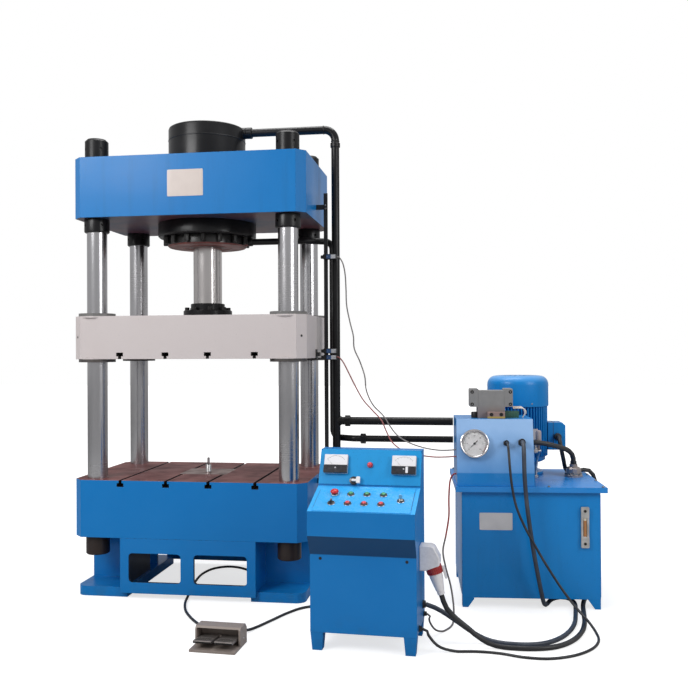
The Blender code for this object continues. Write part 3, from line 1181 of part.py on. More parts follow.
def pack_motor(pack, paint, steel):
    x, y = MOTOR_PLACE
    bore = SHAFT_RADIUS + FIT
    foot = LID_TOP + GAP
    outline = []
    for fin in range(MOTOR_FINS):
        middle = math.tau * fin / MOTOR_FINS
        for offset, radius in ((-0.30, MOTOR_CORE_RADIUS), (-0.14, MOTOR_FIN_RADIUS),
                               (0.14, MOTOR_FIN_RADIUS), (0.30, MOTOR_CORE_RADIUS)):
            angle = middle + offset * math.tau / MOTOR_FINS
            outline.append((x + radius * math.cos(angle), y + radius * math.sin(angle)))
    shape = new_shape()
    prism(shape, outline, MOTOR_FIN_BOTTOM, MOTOR_FIN_TOP - 0.012)
    motor = piece("motor_housing", shape, paint, pack)
    bell = new_shape()
    turned(bell, [(0, foot), (0.155, foot), (0.155, foot + 0.018), (0.118, foot + 0.026),
                  (0.112, MOTOR_FIN_BOTTOM - 0.045),
                  (0.150, MOTOR_FIN_BOTTOM - 0.030), (0.168, MOTOR_FIN_BOTTOM - 0.020),
                  (0.168, MOTOR_FIN_BOTTOM + 0.008),
                  (0, MOTOR_FIN_BOTTOM + 0.008)])
    moved(bell, list(bell.verts), (x, y, 0))
    weld(motor, bell)
    terminal = new_shape()
    low, high = TERMINAL_LOW, TERMINAL_HIGH
    prism(terminal, [(low[0], low[2]), (high[0] - 0.010, low[2]), (high[0], low[2] + 0.010),
                     (high[0], high[2] - 0.020),
                     (high[0] - 0.020, high[2]), (low[0], high[2])], low[1], high[1], axis="y")
    box(terminal, (MOTOR_CORE_RADIUS - 0.02, low[1] + 0.02, low[2] + 0.03),
        (low[0] + 0.01, high[1] - 0.02, high[2] - 0.03))
    rod(terminal, 0.021, low[1] - 0.032, low[1] + 0.01, BUTTON_ROUND,
        ((low[0] + high[0]) / 2 + 0.004, low[2] + 0.083), axis="y")
    weld(motor, terminal)
    motor.modifiers[-1].use_self = True
    core = new_shape()
    rod(core, bore, foot - 0.05, MOTOR_FIN_TOP + 0.1, SMALL_ROUND, MOTOR_PLACE)
    cut(motor, core)

    wall = COWL_WALL
    inner = COWL_RADIUS - wall
    low = MOTOR_FIN_TOP - 0.012 + GAP
    cowl = new_shape()
    turned(cowl, [(MOTOR_CORE_RADIUS + 0.006, low), (COWL_RADIUS - 0.003, low), (COWL_RADIUS, low + 0.004),
                  (COWL_RADIUS, COWL_TOP - 0.055), (COWL_RADIUS - 0.008, COWL_TOP - 0.026),
                  (COWL_RADIUS - 0.028, COWL_TOP - 0.008),
                  (COWL_RADIUS - 0.055, COWL_TOP), (0, COWL_TOP), (0, COWL_TOP - wall),
                  (COWL_RADIUS - 0.058, COWL_TOP - wall),
                  (inner - 0.026, COWL_TOP - 0.012), (inner - 0.008, COWL_TOP - 0.030),
                  (inner, COWL_TOP - 0.056),
                  (inner, low + 0.010), (MOTOR_CORE_RADIUS + 0.006, low + 0.010)])
    moved(cowl, list(cowl.verts), (x, y, 0))
    cover = piece("fan_cowl", cowl, paint, pack)
    grille = new_shape()
    for slot in range(10):
        verts = prism(grille, rounded(0.038, -0.007, 0.118, 0.007, 0.006, 1), COWL_TOP - 0.02,
                      COWL_TOP + 0.02)
        moved(grille, verts, (x, y, 0), Matrix.Rotation(math.tau * slot / 10, 4, "Z"))
    cut(cover, grille)

    fan_low = MOTOR_FIN_TOP + 0.030
    spin = new_shape()
    turned(spin, [(0, SHAFT_BOTTOM), (SHAFT_RADIUS, SHAFT_BOTTOM), (SHAFT_RADIUS, fan_low),
                  (0.045, fan_low),
                  (0.045, fan_low + 0.030), (SHAFT_RADIUS, fan_low + 0.034),
                  (SHAFT_RADIUS, fan_low + 0.040),
                  (0, fan_low + 0.040)], SMALL_ROUND)
    shaft = piece("motor_shaft", spin, steel, pack, (x, y, 0))
    blades = new_shape()
    for blade in range(7):
        verts = box(blades, (0.040, -0.002, fan_low + 0.004), (FAN_RADIUS, 0.002, fan_low + 0.060))
        moved(blades, verts, (0, 0, 0), Matrix.Rotation(math.tau * blade / 7, 4, "Z"))
    weld(shaft, blades)

    pump = new_shape()
    top = LID_TOP - LID_THICKNESS - GAP
    turned(pump, [(0, PUMP_BOTTOM), (PUMP_RADIUS - 0.008, PUMP_BOTTOM), (PUMP_RADIUS, PUMP_BOTTOM + 0.008),
                  (PUMP_RADIUS, top),
                  (bore, top), (bore, SHAFT_BOTTOM - FIT), (0, SHAFT_BOTTOM - FIT)])
    moved(pump, list(pump.verts), (x, y, 0))
    oil_pump = piece("oil_pump", pump, steel, pack)
    suction = new_shape()
    rod(suction, 0.018, -0.18, -PUMP_RADIUS + 0.02, BUTTON_ROUND, (y, PUMP_BOTTOM + 0.04), axis="x")
    rod(suction, 0.030, TANK_BOTTOM + 0.06, TANK_BOTTOM + 0.16, BUTTON_ROUND, (-0.165, y))
    rod(suction, 0.018, TANK_BOTTOM + 0.155, PUMP_BOTTOM + 0.045, BUTTON_ROUND, (-0.165, y))
    weld(oil_pump, suction)
    oil_pump.modifiers[-1].use_self = True


def pack_hose(pack, black):
    """The oil comes back through a hose from the stand's side to the filter on the lid."""
    x, y = FILTER_PLACE
    top = LID_TOP + FILTER_HEIGHT + GAP
    start = Vector((STAND_RIGHT + 0.004, HOSE_START_Y, STAND_TOP - HOSE_START_DROP))
    reach = Vector((x, y, top + 0.004)) - start
    points = [start] + [start + Vector((along * reach.x, back * reach.y, drop * reach.z))
                        for along, back, drop in HOSE_BEND] + [start + reach]
    shape = new_shape()
    tube(shape, smooth(points, HOSE_DIAMETER), HOSE_DIAMETER / 2, 10)
    hose = piece("return_hose", shape, black, pack)
    ends = new_shape()
    rod(ends, HOSE_DIAMETER / 2 + 0.005, STAND_RIGHT + GAP, STAND_RIGHT + 0.030, 6, start.yz,
        axis="x")
    rod(ends, HOSE_DIAMETER / 2 + 0.005, top, top + 0.018, 6, (x, y))
    weld(hose, ends)


def smooth(points, spacing, before=None, after=None):
    """A smooth curve through the points, read at about the given spacing.

    before and after are the points from which the curve comes and to which it goes on."""
    points = [Vector(p) for p in points]
    padded = [before or 2 * points[0] - points[1]] + points + [after or 2 * points[-1] - points[-2]]
    fine = []
    for a, b, c, d in zip(padded, padded[1:], padded[2:], padded[3:]):
        for step in range(24):
            t = step / 24
            bend = (2 * a - 5 * b + 4 * c - d) * t * t + (3 * b - a - 3 * c + d) * t ** 3
            fine.append(0.5 * (2 * b + (c - a) * t + bend))
    fine.append(points[-1])
    length = sum((q - p).length for p, q in zip(fine, fine[1:]))
    count = max(2, round(length / spacing))
    route = [fine[0]]
    walked = 0.0
    for p, q in zip(fine, fine[1:]):
        step = (q - p).length
        while len(route) < count and walked + step >= length * len(route) / count:
            part = (length * len(route) / count - walked) / step
            route.append(p.lerp(q, part))
        walked += step
    route.append(fine[-1])
    return route


def foot_switch(floor, metal):
    half = FOOT_SWITCH_WIDTH / 2
    deep, high = FOOT_SWITCH_DEPTH, FOOT_SWITCH_HEIGHT
    outline = [(0, 0), (deep, 0), (deep, high - 0.024), (deep - 0.022, high), (HOOD_FRONT + 0.012, high),
               (HOOD_FRONT, high - 0.012), (HOOD_FRONT, FOOT_SWITCH_FLOOR), (0, FOOT_SWITCH_FLOOR)]
    shape = new_shape()
    prism(shape, outline, -half, half, axis="x")
    body = piece("foot_switch_body", shape, metal, floor)
    wall = FOOT_SWITCH_WALL
    hollow = new_shape()
    box(hollow, (-half + wall, HOOD_FRONT - 0.02, FOOT_SWITCH_FLOOR),
        (half - wall, deep - 0.030, high - wall))
    cut(body, hollow)
    pin = new_shape()
    rod(pin, PEDAL_PIN_RADIUS, -half + wall / 2, half - wall / 2, BUTTON_ROUND, PEDAL_HINGE, axis="x")
    box(pin, (-0.004, PEDAL_HINGE[0] - 0.012, FOOT_SWITCH_FLOOR - 0.002),
        (0.004, PEDAL_HINGE[0] + 0.012, PEDAL_HINGE[1] + 0.012))
    weld(body, pin)
    body.modifiers[-1].use_self = True
    for name, side in (("pedal_left", -1), ("pedal_right", 1)):
        middle = side * (0.004 + 0.0045 + PEDAL_WIDTH / 2)
        outline = [(0.010, -0.008), (0.010, 0.008), (-0.02, 0.010), (-PEDAL_REACH + 0.006, 0.018),
                   (-PEDAL_REACH, 0.014),
                   (-PEDAL_REACH, 0.006), (-0.02, -0.004)]
        plate = new_shape()
        prism(plate, outline, -PEDAL_WIDTH / 2, PEDAL_WIDTH / 2, axis="x")
        pedal = piece(name, plate, metal, floor, (middle, *PEDAL_HINGE))
        bore = new_shape()
        rod(bore, PEDAL_PIN_RADIUS + FIT, -PEDAL_WIDTH, PEDAL_WIDTH, BUTTON_ROUND, axis="x")
        cut(pedal, bore)
        grooves = new_shape()
        for row in range(5):
            near = -0.045 - 0.016 * row
            box(grooves, (-PEDAL_WIDTH / 2 + 0.008, near - 0.003, 0.012),
                (PEDAL_WIDTH / 2 - 0.008, near + 0.003, 0.03))
        cut(pedal, grooves)


def console_entries(cabinet):
    bosses = new_shape()
    for place, along, height, radius in CONSOLE_ENTRIES.values():
        if place == "side":
            face = CONSOLE_WIDTH / 2
            rod(bosses, radius, face - 0.01, face + ENTRY_LENGTH, BUTTON_ROUND, (along, height), axis="x")
        else:
            rod(bosses, radius, CONSOLE_DEPTH - 0.01, CONSOLE_DEPTH + ENTRY_LENGTH, BUTTON_ROUND,
                (along, height), axis="y")
    weld(cabinet, bosses)


def world(carrier, place):
    bpy.context.view_layer.update()
    return carrier.matrix_world @ Vector(place)


def cable_ends(console, pack, stand_face, floor):
    """The first and last point of each cable: on its gland's face, a touching gap off it, and just beyond."""
    ends = {}
    for name, (place, along, height, _) in CONSOLE_ENTRIES.items():
        if place == "side":
            face = CONSOLE_WIDTH / 2 + ENTRY_LENGTH + GAP
            ends[name] = [(console, (face + 0.02, along, height)), (console, (face, along, height))]
        else:
            face = CONSOLE_DEPTH + ENTRY_LENGTH + GAP
            ends[name] = [(console, (along, face + 0.02, height)), (console, (along, face, height))]
    lean = Matrix.Rotation(-PLUG_TILT, 4, "Y")
    mouth = Vector((CONSOLE_WIDTH / 2 + GAP + 0.066, INLET_BACK + INLET_WIDTH / 2, INLET_LOW + 0.002))
    plug_end = -COLLAR_LENGTH - PLUG_LENGTH - 2 * GAP
    ends["motor_cable"] = [(console, mouth + lean @ Vector((0, 0, plug_end - 0.025))),
                           (console, mouth + lean @ Vector((0, 0, plug_end)))]
    low, high = TERMINAL_LOW, TERMINAL_HIGH
    gland = ((low[0] + high[0]) / 2 + 0.004, low[1] - 0.032 - GAP, low[2] + 0.083)
    side = STAND_LEFT - GAP
    back = FOOT_SWITCH_DEPTH + GAP
    switch_end = RAIL_X + 0.068 + GAP
    starts = {
        "motor_cable": (pack, gland, (0, -0.02, 0)),
        "valve_cable": (stand_face, (*THICK_GLAND, GLAND_LENGTH + GAP), (0, 0, 0.02)),
        "signal_cable": (stand_face, (*THIN_GLAND, GLAND_LENGTH + GAP), (0, 0, 0.02)),
        "stand_wires": (pack, (side, -0.285, 0.752), (-0.01, 0, 0)),
        "foot_cable": (floor, (-0.080, back, 0.045), (0, 0.015, 0)),
        "foot_lead": (floor, (0.075, back, 0.045), (0, 0.015, 0)),
        "upper_limit_wire": (None, (switch_end, RAIL_Y - 0.016, SWITCH_HEIGHTS[0]), (0.008, 0, 0)),
        "lower_limit_wire": (None, (switch_end, RAIL_Y - 0.016, SWITCH_HEIGHTS[2]), (0.008, 0, 0)),
    }
    ends["upper_limit_wire"] = [(pack, (side - 0.012, -0.255, 0.888)), (pack, (side, -0.255, 0.888))]
    ends["lower_limit_wire"] = [(pack, (side - 0.012, -0.275, 0.850)), (pack, (side, -0.275, 0.850))]
    return starts, ends


def cables(base, starts, ends, sheath, red):
    for name, (diameter, points) in CABLES.items():
        carrier, place, out = starts[name]
        first = Vector(place)
        second = first + Vector(out)
        if carrier is not None:
            first, second = world(carrier, first), world(carrier, second)
        nearly, last = [world(holder, spot) for holder, spot in ends[name]]
        route = [first] + smooth([second, *points, nearly], 3 * diameter, first, last) + [last]
        floor = diameter / 2 + 2 * GAP
        curve = bpy.data.curves.new(name, "CURVE")
        curve.dimensions = "3D"
        curve.bevel_depth = diameter / 2
        curve.bevel_resolution = 2
        curve.use_fill_caps = True
        spline = curve.splines.new("POLY")
        spline.points.add(len(route) - 1)
        for point, place in zip(spline.points, route):
            point.co = (place.x, place.y, max(place.z, floor), 1.0)
        curve.materials.append(red if name == "stand_wires" else sheath)
        made = bpy.data.objects.new(name, curve)
        bpy.context.collection.objects.link(made)
        made.parent = base


def stand_on_origin(machine):
    """Moves the whole machine so that the frame's origin is under the middle of its rigid pieces."""
    bpy.context.view_layer.update()
    depsgraph = bpy.context.evaluated_depsgraph_get()
    corners = []
    for made in bpy.data.objects:
        if made.type == "MESH" and not made.hide_render:
            mesh = made.evaluated_get(depsgraph).to_mesh()
            corners += [made.matrix_world @ v.co for v in mesh.vertices]
            made.evaluated_get(depsgraph).to_mesh_clear()
    low = [min(c[i] for c in corners) for i in range(2)]
    high = [max(c[i] for c in corners) for i in range(2)]
    machine.location = (-(low[0] + high[0]) / 2, -(low[1] + high[1]) / 2, 0)


def build():
    clear_scene()
    blue = finish("blue_paint", (0.013, 0.178, 0.485), 0.35)
    cream = finish("cream_paint", (0.597, 0.540, 0.540), 0.40)
    black = finish("black_paint", (0.012, 0.012, 0.014), 0.35)
    polished = finish("polished_steel", (0.62, 0.62, 0.64), 0.18, 1.0)
    machined = finish("oiled_steel", (0.22, 0.10, 0.095), 0.40, 0.8)
    silver = finish("silver_fitting", (0.60, 0.60, 0.61), 0.30, 1.0)
    grey = finish("grey_valve", (0.22, 0.22, 0.215), 0.50)
    bronze = finish("bronze_block", (0.33, 0.23, 0.10), 0.45, 0.8)
    white = finish("white_plastic", (0.72, 0.71, 0.74), 0.40)
    red = finish("red_plastic", (0.55, 0.016, 0.022), 0.35)
    green = finish("green_plastic", (0.04, 0.32, 0.10), 0.35)
    dark = finish("black_plastic", (0.015, 0.015, 0.017), 0.45)
    pedal_metal = finish("pedal_metal", (0.19, 0.155, 0.15), 0.55, 0.3)
    sheath = finish("cable_sheath", (0.012, 0.012, 0.013), 0.55)

    machine = frame("machine")
    press = frame("press_frame", parent=machine)
    console = frame("console_frame", CONSOLE_PLACE, CONSOLE_YAW, parent=machine)
    pack = frame("pack_frame", PACK_PLACE, PACK_YAW, parent=machine)
    floor = frame("foot_switch_frame", FOOT_SWITCH_PLACE, FOOT_SWITCH_YAW, parent=machine)
    slider = frame("slide_guide", parent=press)
    lifter = frame("ejector_guide", parent=press)

    press_plinth(press, blue)
    press_bed(press, blue, machined)
    press_columns(press, polished)
    press_crosshead(press, blue)
    press_cylinder(press, black)
    press_slide(slider, cream, black, polished)
    press_ejector(press, lifter, polished, black)
    press_switches(press, dark)

    pack_tank(pack, blue, silver)
    stand_face = pack_stand(pack, blue, white, dark)
    pack_valve(pack, grey, bronze)
    pack_motor(pack, blue, polished)
    pack_hose(pack, sheath)
    stand_side = world(pack, (STAND_LEFT, 0, 0)).x - GAP - PIPE_DIAMETER * math.sin(PACK_YAW)
    press_pipes(press, black, stand_side)

    seat, panel_face, slope, panel_height = console_cabinet(console, blue)
    console_entries(bpy.data.objects["console_cabinet"])
    console_desk(seat, slope, blue)
    console_controls(seat, green, red, dark, silver)
    console_panel(panel_face, panel_height, blue, white, red, dark)
    console_inlet(console, white)

    foot_switch(floor, pedal_metal)
    starts, ends = cable_ends(console, pack, stand_face, floor)
    cables(machine, starts, ends, sheath, red)
    stand_on_origin(machine)


build()
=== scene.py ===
import math

import bmesh
import bpy
from mathutils import Matrix, Vector


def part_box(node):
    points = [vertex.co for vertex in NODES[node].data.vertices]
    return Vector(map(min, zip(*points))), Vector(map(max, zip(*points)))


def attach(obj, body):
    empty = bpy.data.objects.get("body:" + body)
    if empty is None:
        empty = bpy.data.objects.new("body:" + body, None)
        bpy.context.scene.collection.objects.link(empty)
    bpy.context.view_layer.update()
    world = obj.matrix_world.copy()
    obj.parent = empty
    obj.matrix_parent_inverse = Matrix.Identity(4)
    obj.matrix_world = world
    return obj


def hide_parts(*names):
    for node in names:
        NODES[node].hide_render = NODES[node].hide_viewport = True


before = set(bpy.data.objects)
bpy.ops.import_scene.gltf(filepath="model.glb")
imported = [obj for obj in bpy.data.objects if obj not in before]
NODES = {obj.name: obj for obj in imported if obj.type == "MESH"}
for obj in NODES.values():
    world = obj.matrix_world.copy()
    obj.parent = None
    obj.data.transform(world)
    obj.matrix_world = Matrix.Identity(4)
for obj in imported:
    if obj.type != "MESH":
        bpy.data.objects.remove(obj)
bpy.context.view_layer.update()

# The press frame's own middle on the floor: everything below is laid out from it.
# The record's origin is under the middle of the whole set, so each place is moved by this much.
bed_low, bed_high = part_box("bed")
PRESS = Vector(((bed_low[0] + bed_high[0]) / 2, (bed_low[1] + bed_high[1]) / 2, 0))

# Camera: a 43.6 mm lens, 5.4 m in front of the press and a little to its right, at 1.47 m.
camera_data = bpy.data.cameras.new("camera")
camera_data.lens = 43.607
camera_data.sensor_width = 36
camera_data.clip_end = 100
camera = bpy.data.objects.new("camera", camera_data)
bpy.context.collection.objects.link(camera)
turn, rise, roll = math.radians(8.3576), math.radians(-0.2952), math.radians(-0.2869)
back = Vector((math.sin(turn) * math.cos(rise), -math.cos(turn) * math.cos(rise), math.sin(rise)))
right = (-back).cross(Vector((0, 0, 1))).normalized()
up = right.cross(-back)
level_right, level_up = right, up
right = level_right * math.cos(roll) + level_up * math.sin(roll)
up = level_up * math.cos(roll) - level_right * math.sin(roll)
camera.matrix_world = Matrix((right, up, back)).transposed().to_4x4()
camera.location = PRESS + Vector((1.6418, -5.1897, 1.4664))
bpy.context.scene.camera = camera
bpy.context.scene.view_settings.view_transform = "Standard"

# Studio: a white surround that is seen by the camera and in the metal, and a weak grey sky that
# lights the machine. Soft lamps stand high on the left, on the right and behind.
class Shade:
    """One output in a material's node tree. Sums and products of shades add their Math nodes."""

    def __init__(self, tree, socket=None):
        self.tree = tree
        self.socket = socket

    def node(self, kind, settings=None, out=0, **inputs):
        made = self.tree.nodes.new("ShaderNode" + kind)
        for name, value in (settings or {}).items():
            setattr(made, name, value)
        for name, value in inputs.items():
            self.put(made.inputs[int(name[1:]) if name[1:].isdigit() else name.replace("_", " ")],
                     value)
        return Shade(self.tree, made.outputs[out])

    def put(self, socket, value):
        if isinstance(value, Shade):
            self.tree.links.new(value.socket, socket)
        elif isinstance(value, tuple) and len(value) == 3 and len(socket.default_value) == 4:
            socket.default_value = (*value, 1)
        else:
            socket.default_value = value

    def math(self, operation, a, b=0.0):
        return self.node("Math", {"operation": operation}, i0=a, i1=b)

    def __add__(self, other):
        return self.math("ADD", self, other)

    def __radd__(self, other):
        return self.math("ADD", other, self)

    def __sub__(self, other):
        return self.math("SUBTRACT", self, other)

    def __rsub__(self, other):
        return self.math("SUBTRACT", other, self)

    def __mul__(self, other):
        return self.math("MULTIPLY", self, other)

    def __rmul__(self, other):
        return self.math("MULTIPLY", other, self)

    def clip(self, low, high):
        """0 under low, 1 over high, even between them."""
        return self.node("MapRange", {"clamp": True}, Value=self, From_Min=low, From_Max=high)

    def axis(self, number):
        """One number of this place or direction: 0 is x, 1 is y and 2 is z."""
        return self.node("SeparateXYZ", Vector=self, out=number)

    def dot(self, direction):
        return self.node("VectorMath", {"operation": "DOT_PRODUCT"}, out=1, i0=self, i1=direction)

    def normal(self):
        return self.node("NewGeometry", out=1)

    def noise(self, scale, detail, stretch=None):
        """A noise that grows from this place, drawn out by a factor for each axis."""
        place = self
        if stretch:
            place = self.node("VectorMath", {"operation": "MULTIPLY"}, i0=self, i1=stretch)
        return self.node("TexNoise", Vector=place, Scale=scale, Detail=detail)

    def blend(self, a, b):
        """Colour a where this shade is 0, b where it is 1."""
        mixed = self.node("Mix", {"data_type": "RGBA"}, out=2, Factor=self)
        made = mixed.socket.node
        self.put(made.inputs[6], a)
        self.put(made.inputs[7], b)
        return mixed


def finish(name, metallic=0.0, coat=0.0, ior=1.5, coat_roughness=0.03):
    """A new material, its shader and the place on the object from which its patterns grow."""
    made = bpy.data.materials.new(name)
    made.use_nodes = True
    tree = made.node_tree
    shader = tree.nodes["Principled BSDF"]
    shader.inputs["Metallic"].default_value = metallic
    shader.inputs["Coat Weight"].default_value = coat
    shader.inputs["Coat Roughness"].default_value = coat_roughness
    shader.inputs["IOR"].default_value = ior
    paint = Shade(tree)
    place = paint.node("TexCoord", out=3)
    return made, shader, paint, place


world = bpy.data.worlds.new("studio")
bpy.context.scene.world = world
world.use_nodes = True
background = world.node_tree.nodes["Background"]
background.inputs["Color"].default_value = (1, 1, 1, 1)
sky = Shade(world.node_tree)
seen = sky.math("MAXIMUM", sky.node("LightPath", out="Is Camera Ray"),
                sky.node("LightPath", out="Is Transmission Ray"))
mirrored = sky.node("LightPath", out="Is Glossy Ray") * 0.5
sky.put(background.inputs["Strength"], sky.math("MAXIMUM", sky.math("MAXIMUM", seen, mirrored),
                                                0.42))


def lamp(name, place, aim, size, power):
    data = bpy.data.lights.new(name, "AREA")
    data.shape = "RECTANGLE"
    data.size, data.size_y = size
    data.energy = power
    made = bpy.data.objects.new(name, data)
    made.location = PRESS + Vector(place)
    made.rotation_euler = (Vector(aim) - Vector(place)).to_track_quat("-Z", "Y").to_euler()
    bpy.context.collection.objects.link(made)


lamp("key_lamp", (-2.8, -4.6, 4.6), (0.4, 0, 1.2), (2.6, 2.6), 215)
lamp("side_lamp", (5.4, -3.0, 3.2), (1.2, 0, 0.9), (2.2, 2.6), 95)
lamp("top_lamp", (0.6, 0.4, 6.2), (0.6, 0, 1.0), (3.5, 2.5), 190)

floor_mesh = bpy.data.meshes.new("studio_floor")
floor_mesh.from_pydata([(-30, -30, 0), (30, -30, 0), (30, 30, 0), (-30, 30, 0)], [], [(0, 1, 2, 3)])
studio_floor = bpy.data.objects.new("studio_floor", floor_mesh)
bpy.context.collection.objects.link(studio_floor)
floor_paint, floor_shader, paint, place = finish("studio_floor")
floor_shader.inputs["Base Color"].default_value = (0.5, 0.5, 0.5, 1)
floor_shader.inputs["Roughness"].default_value = 0.9
floor_shader.inputs["Emission Color"].default_value = (1, 1, 1, 1)
away = paint.node("VectorMath", {"operation": "LENGTH"}, out=1, i0=place)
glow = paint.node("MapRange", Value=away, From_Min=1.6, From_Max=4.5, To_Min=0.7, To_Max=1.0)
paint.put(floor_shader.inputs["Emission Strength"], paint.node("LightPath", out="Is Camera Ray")
          * glow)
floor_mesh.materials.append(floor_paint)


# Power cables: the motor's rubber cable from its terminal box down behind the tank to the plug,
# and the valves' cable from the stand to the console. Each lies on the floor between them.
def wear(paint, shader, colour, roughness, height=None, depth=0.001, normal=None):
    """Sends what varies to the shader: colour, roughness and a bump."""
    paint.put(shader.inputs["Base Color"], colour)
    paint.put(shader.inputs["Roughness"], roughness)
    if height is not None:
        bumped = paint.node("Bump", Height=height, Distance=depth, Strength=0.5)
        if normal is not None:
            paint.put(bumped.socket.node.inputs["Normal"], normal)
        paint.put(shader.inputs["Normal"], bumped)


def rubber(name, colour, dusty, grain=260, lower=None, level=0.0):
    """Extruded sheath: fine matt grain, with a film of dust in cloudy patches."""
    made, shader, paint, place = finish(name)
    dust = place.noise(9.0, 5.0).clip(0.44, 0.72)
    fine = place.noise(grain, 2.0)
    shade = (dust * 0.55).blend(colour, dusty)
    if lower:
        height = place.axis(2)
        shade = height.clip(level + 0.015, level - 0.015).blend(shade, lower)
    wear(paint, shader, shade, fine * 0.16 + dust * 0.14 + 0.36, fine, 0.0006)
    return made


def along(points, spacing, floor):
    """An even line on the smooth curve through the points, which never goes below the floor."""
    points = [Vector(p) for p in points]
    line = [points[0]]
    for a, b, c, d in zip(points, points[1:], points[2:], points[3:]):
        for step in range(24):
            t = step / 24
            line.append(0.5 * (2 * b + (c - a) * t + (2 * a - 5 * b + 4 * c - d) * t * t
                               + (3 * b - a - 3 * c + d) * t ** 3))
    line += [points[-2], points[-1]]
    route = [line[0]]
    for point in line[1:-1]:
        if (point - route[-1]).length >= spacing:
            route.append(point)
    if (line[-1] - route[-1]).length < 0.6 * spacing:
        route.pop()
    route.append(line[-1])
    return [Vector((p.x, p.y, max(p.z, floor))) + PRESS for p in route]


def cable(name, points, diameter, material):
    route = along(points, 1.4 * diameter, diameter / 2 + 0.0007)
    curve = bpy.data.curves.new(name, "CURVE")
    curve.dimensions = "3D"
    curve.bevel_depth = diameter / 2
    curve.bevel_resolution = 4
    curve.use_fill_caps = True
    spline = curve.splines.new("POLY")
    spline.points.add(len(route) - 1)
    for point, place in zip(spline.points, route):
        point.co = (*place, 1)
    curve.materials.append(material)
    made = bpy.data.objects.new(name + "_sheath", curve)
    bpy.context.collection.objects.link(made)
    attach(made, "machine")
    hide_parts(name)


black_sheath = rubber("black_cable", (0.01, 0.01, 0.012), (0.055, 0.055, 0.058))
cable("motor_cable", [
    (2.196, 0.158, 0.925), (2.198, 0.138, 0.925), (2.199, 0.105, 0.912), (2.206, 0.085, 0.862),
    (2.222, 0.105, 0.79), (2.24, 0.165, 0.73), (2.275, 0.225, 0.7045), (2.33, 0.255, 0.7055),
    (2.38, 0.272, 0.71), (2.414, 0.284, 0.69), (2.435, 0.291, 0.64), (2.439, 0.292, 0.56),
    (2.439, 0.288, 0.4), (2.439, 0.28, 0.2), (2.436, 0.255, 0.075), (2.415, 0.19, 0.0135),
    (2.37, 0.05, 0.0135), (2.318, -0.11, 0.0135), (2.285, -0.26, 0.0135), (2.268, -0.42, 0.0135),
    (2.252, -0.57, 0.0135), (2.22, -0.72, 0.0135), (2.16, -0.86, 0.0135), (2.07, -0.965, 0.0135),
    (1.955, -1.01, 0.0135), (1.835, -1.012, 0.0135), (1.75, -1, 0.022), (1.685, -0.992, 0.055),
    (1.63, -0.996, 0.1), (1.578, -1.008, 0.145), (1.536, -1.019, 0.192), (1.515, -1.025, 0.2407),
    (1.508, -1.024, 0.2647)], 0.026, black_sheath)
blue_rubber = rubber("blue_grey_cable", (0.026, 0.034, 0.052), (0.08, 0.095, 0.12))
cable("valve_cable", [
    (1.948, -0.3255, 0.9434), (1.949, -0.345, 0.9474), (1.951, -0.395, 0.918),
    (1.951, -0.412, 0.87), (1.954, -0.414, 0.75), (1.966, -0.41, 0.6), (1.985, -0.405, 0.45),
    (2.008, -0.396, 0.3), (2.03, -0.382, 0.18), (2.048, -0.362, 0.09), (2.064, -0.325, 0.03),
    (2.085, -0.262, 0.0125), (2.12, -0.17, 0.0125), (2.172, -0.12, 0.0125), (2.222, -0.14, 0.0125),
    (2.243, -0.225, 0.0125), (2.234, -0.34, 0.0125), (2.22, -0.45, 0.0125), (2.2, -0.58, 0.0125),
    (2.162, -0.71, 0.0125), (2.102, -0.83, 0.0125), (2.02, -0.92, 0.0125), (1.925, -0.957, 0.0125),
    (1.825, -0.955, 0.0125), (1.735, -0.94, 0.022), (1.655, -0.926, 0.055), (1.575, -0.916, 0.105),
    (1.5, -0.91, 0.15), (1.45, -0.908, 0.172), (1.446, -0.908, 0.178),
    (1.426, -0.9069, 0.178)], 0.024, blue_rubber)

# Signal cable and the wires at the stand's side: thinner sheaths, one black and one red,
# which hang from the stand and lie in loose bends on the floor.
cable("signal_cable", [
    (1.86, -0.3321, 0.9395), (1.861, -0.3516, 0.9434), (1.865, -0.385, 0.925), (1.868, -0.42, 0.88),
    (1.873, -0.44, 0.8), (1.884, -0.448, 0.7), (1.905, -0.452, 0.6), (1.945, -0.456, 0.5),
    (1.998, -0.46, 0.4), (2.055, -0.464, 0.3), (2.115, -0.472, 0.205), (2.172, -0.495, 0.125),
    (2.22, -0.545, 0.072), (2.265, -0.63, 0.035), (2.29, -0.73, 0.009), (2.282, -0.85, 0.0075),
    (2.232, -0.965, 0.0075), (2.14, -1.062, 0.0075), (2.02, -1.12, 0.0075), (1.9, -1.118, 0.0075),
    (1.795, -1.082, 0.0075), (1.69, -1.07, 0.0075), (1.585, -1.082, 0.008), (1.5, -1.092, 0.03),
    (1.45, -1.088, 0.078), (1.437, -1.088, 0.112),
    (1.417, -1.087, 0.112)], 0.014, black_sheath)
red_sleeve = rubber("red_sleeve", (0.3, 0.02, 0.022), (0.34, 0.1, 0.09), lower=(0.13, 0.115, 0.115),
                    level=0.41)
cable("stand_wires", [
    (1.575, -0.2818, 0.752), (1.565, -0.2825, 0.752), (1.552, -0.285, 0.742), (1.538, -0.3, 0.708),
    (1.532, -0.33, 0.62), (1.532, -0.362, 0.52), (1.516, -0.4, 0.42), (1.5, -0.44, 0.34),
    (1.516, -0.482, 0.26), (1.544, -0.53, 0.17), (1.56, -0.59, 0.08), (1.56, -0.655, 0.02),
    (1.545, -0.72, 0.006), (1.51, -0.79, 0.006), (1.468, -0.838, 0.03), (1.44, -0.856, 0.082),
    (1.449, -0.8561, 0.114), (1.429, -0.855, 0.114)], 0.01, red_sleeve)

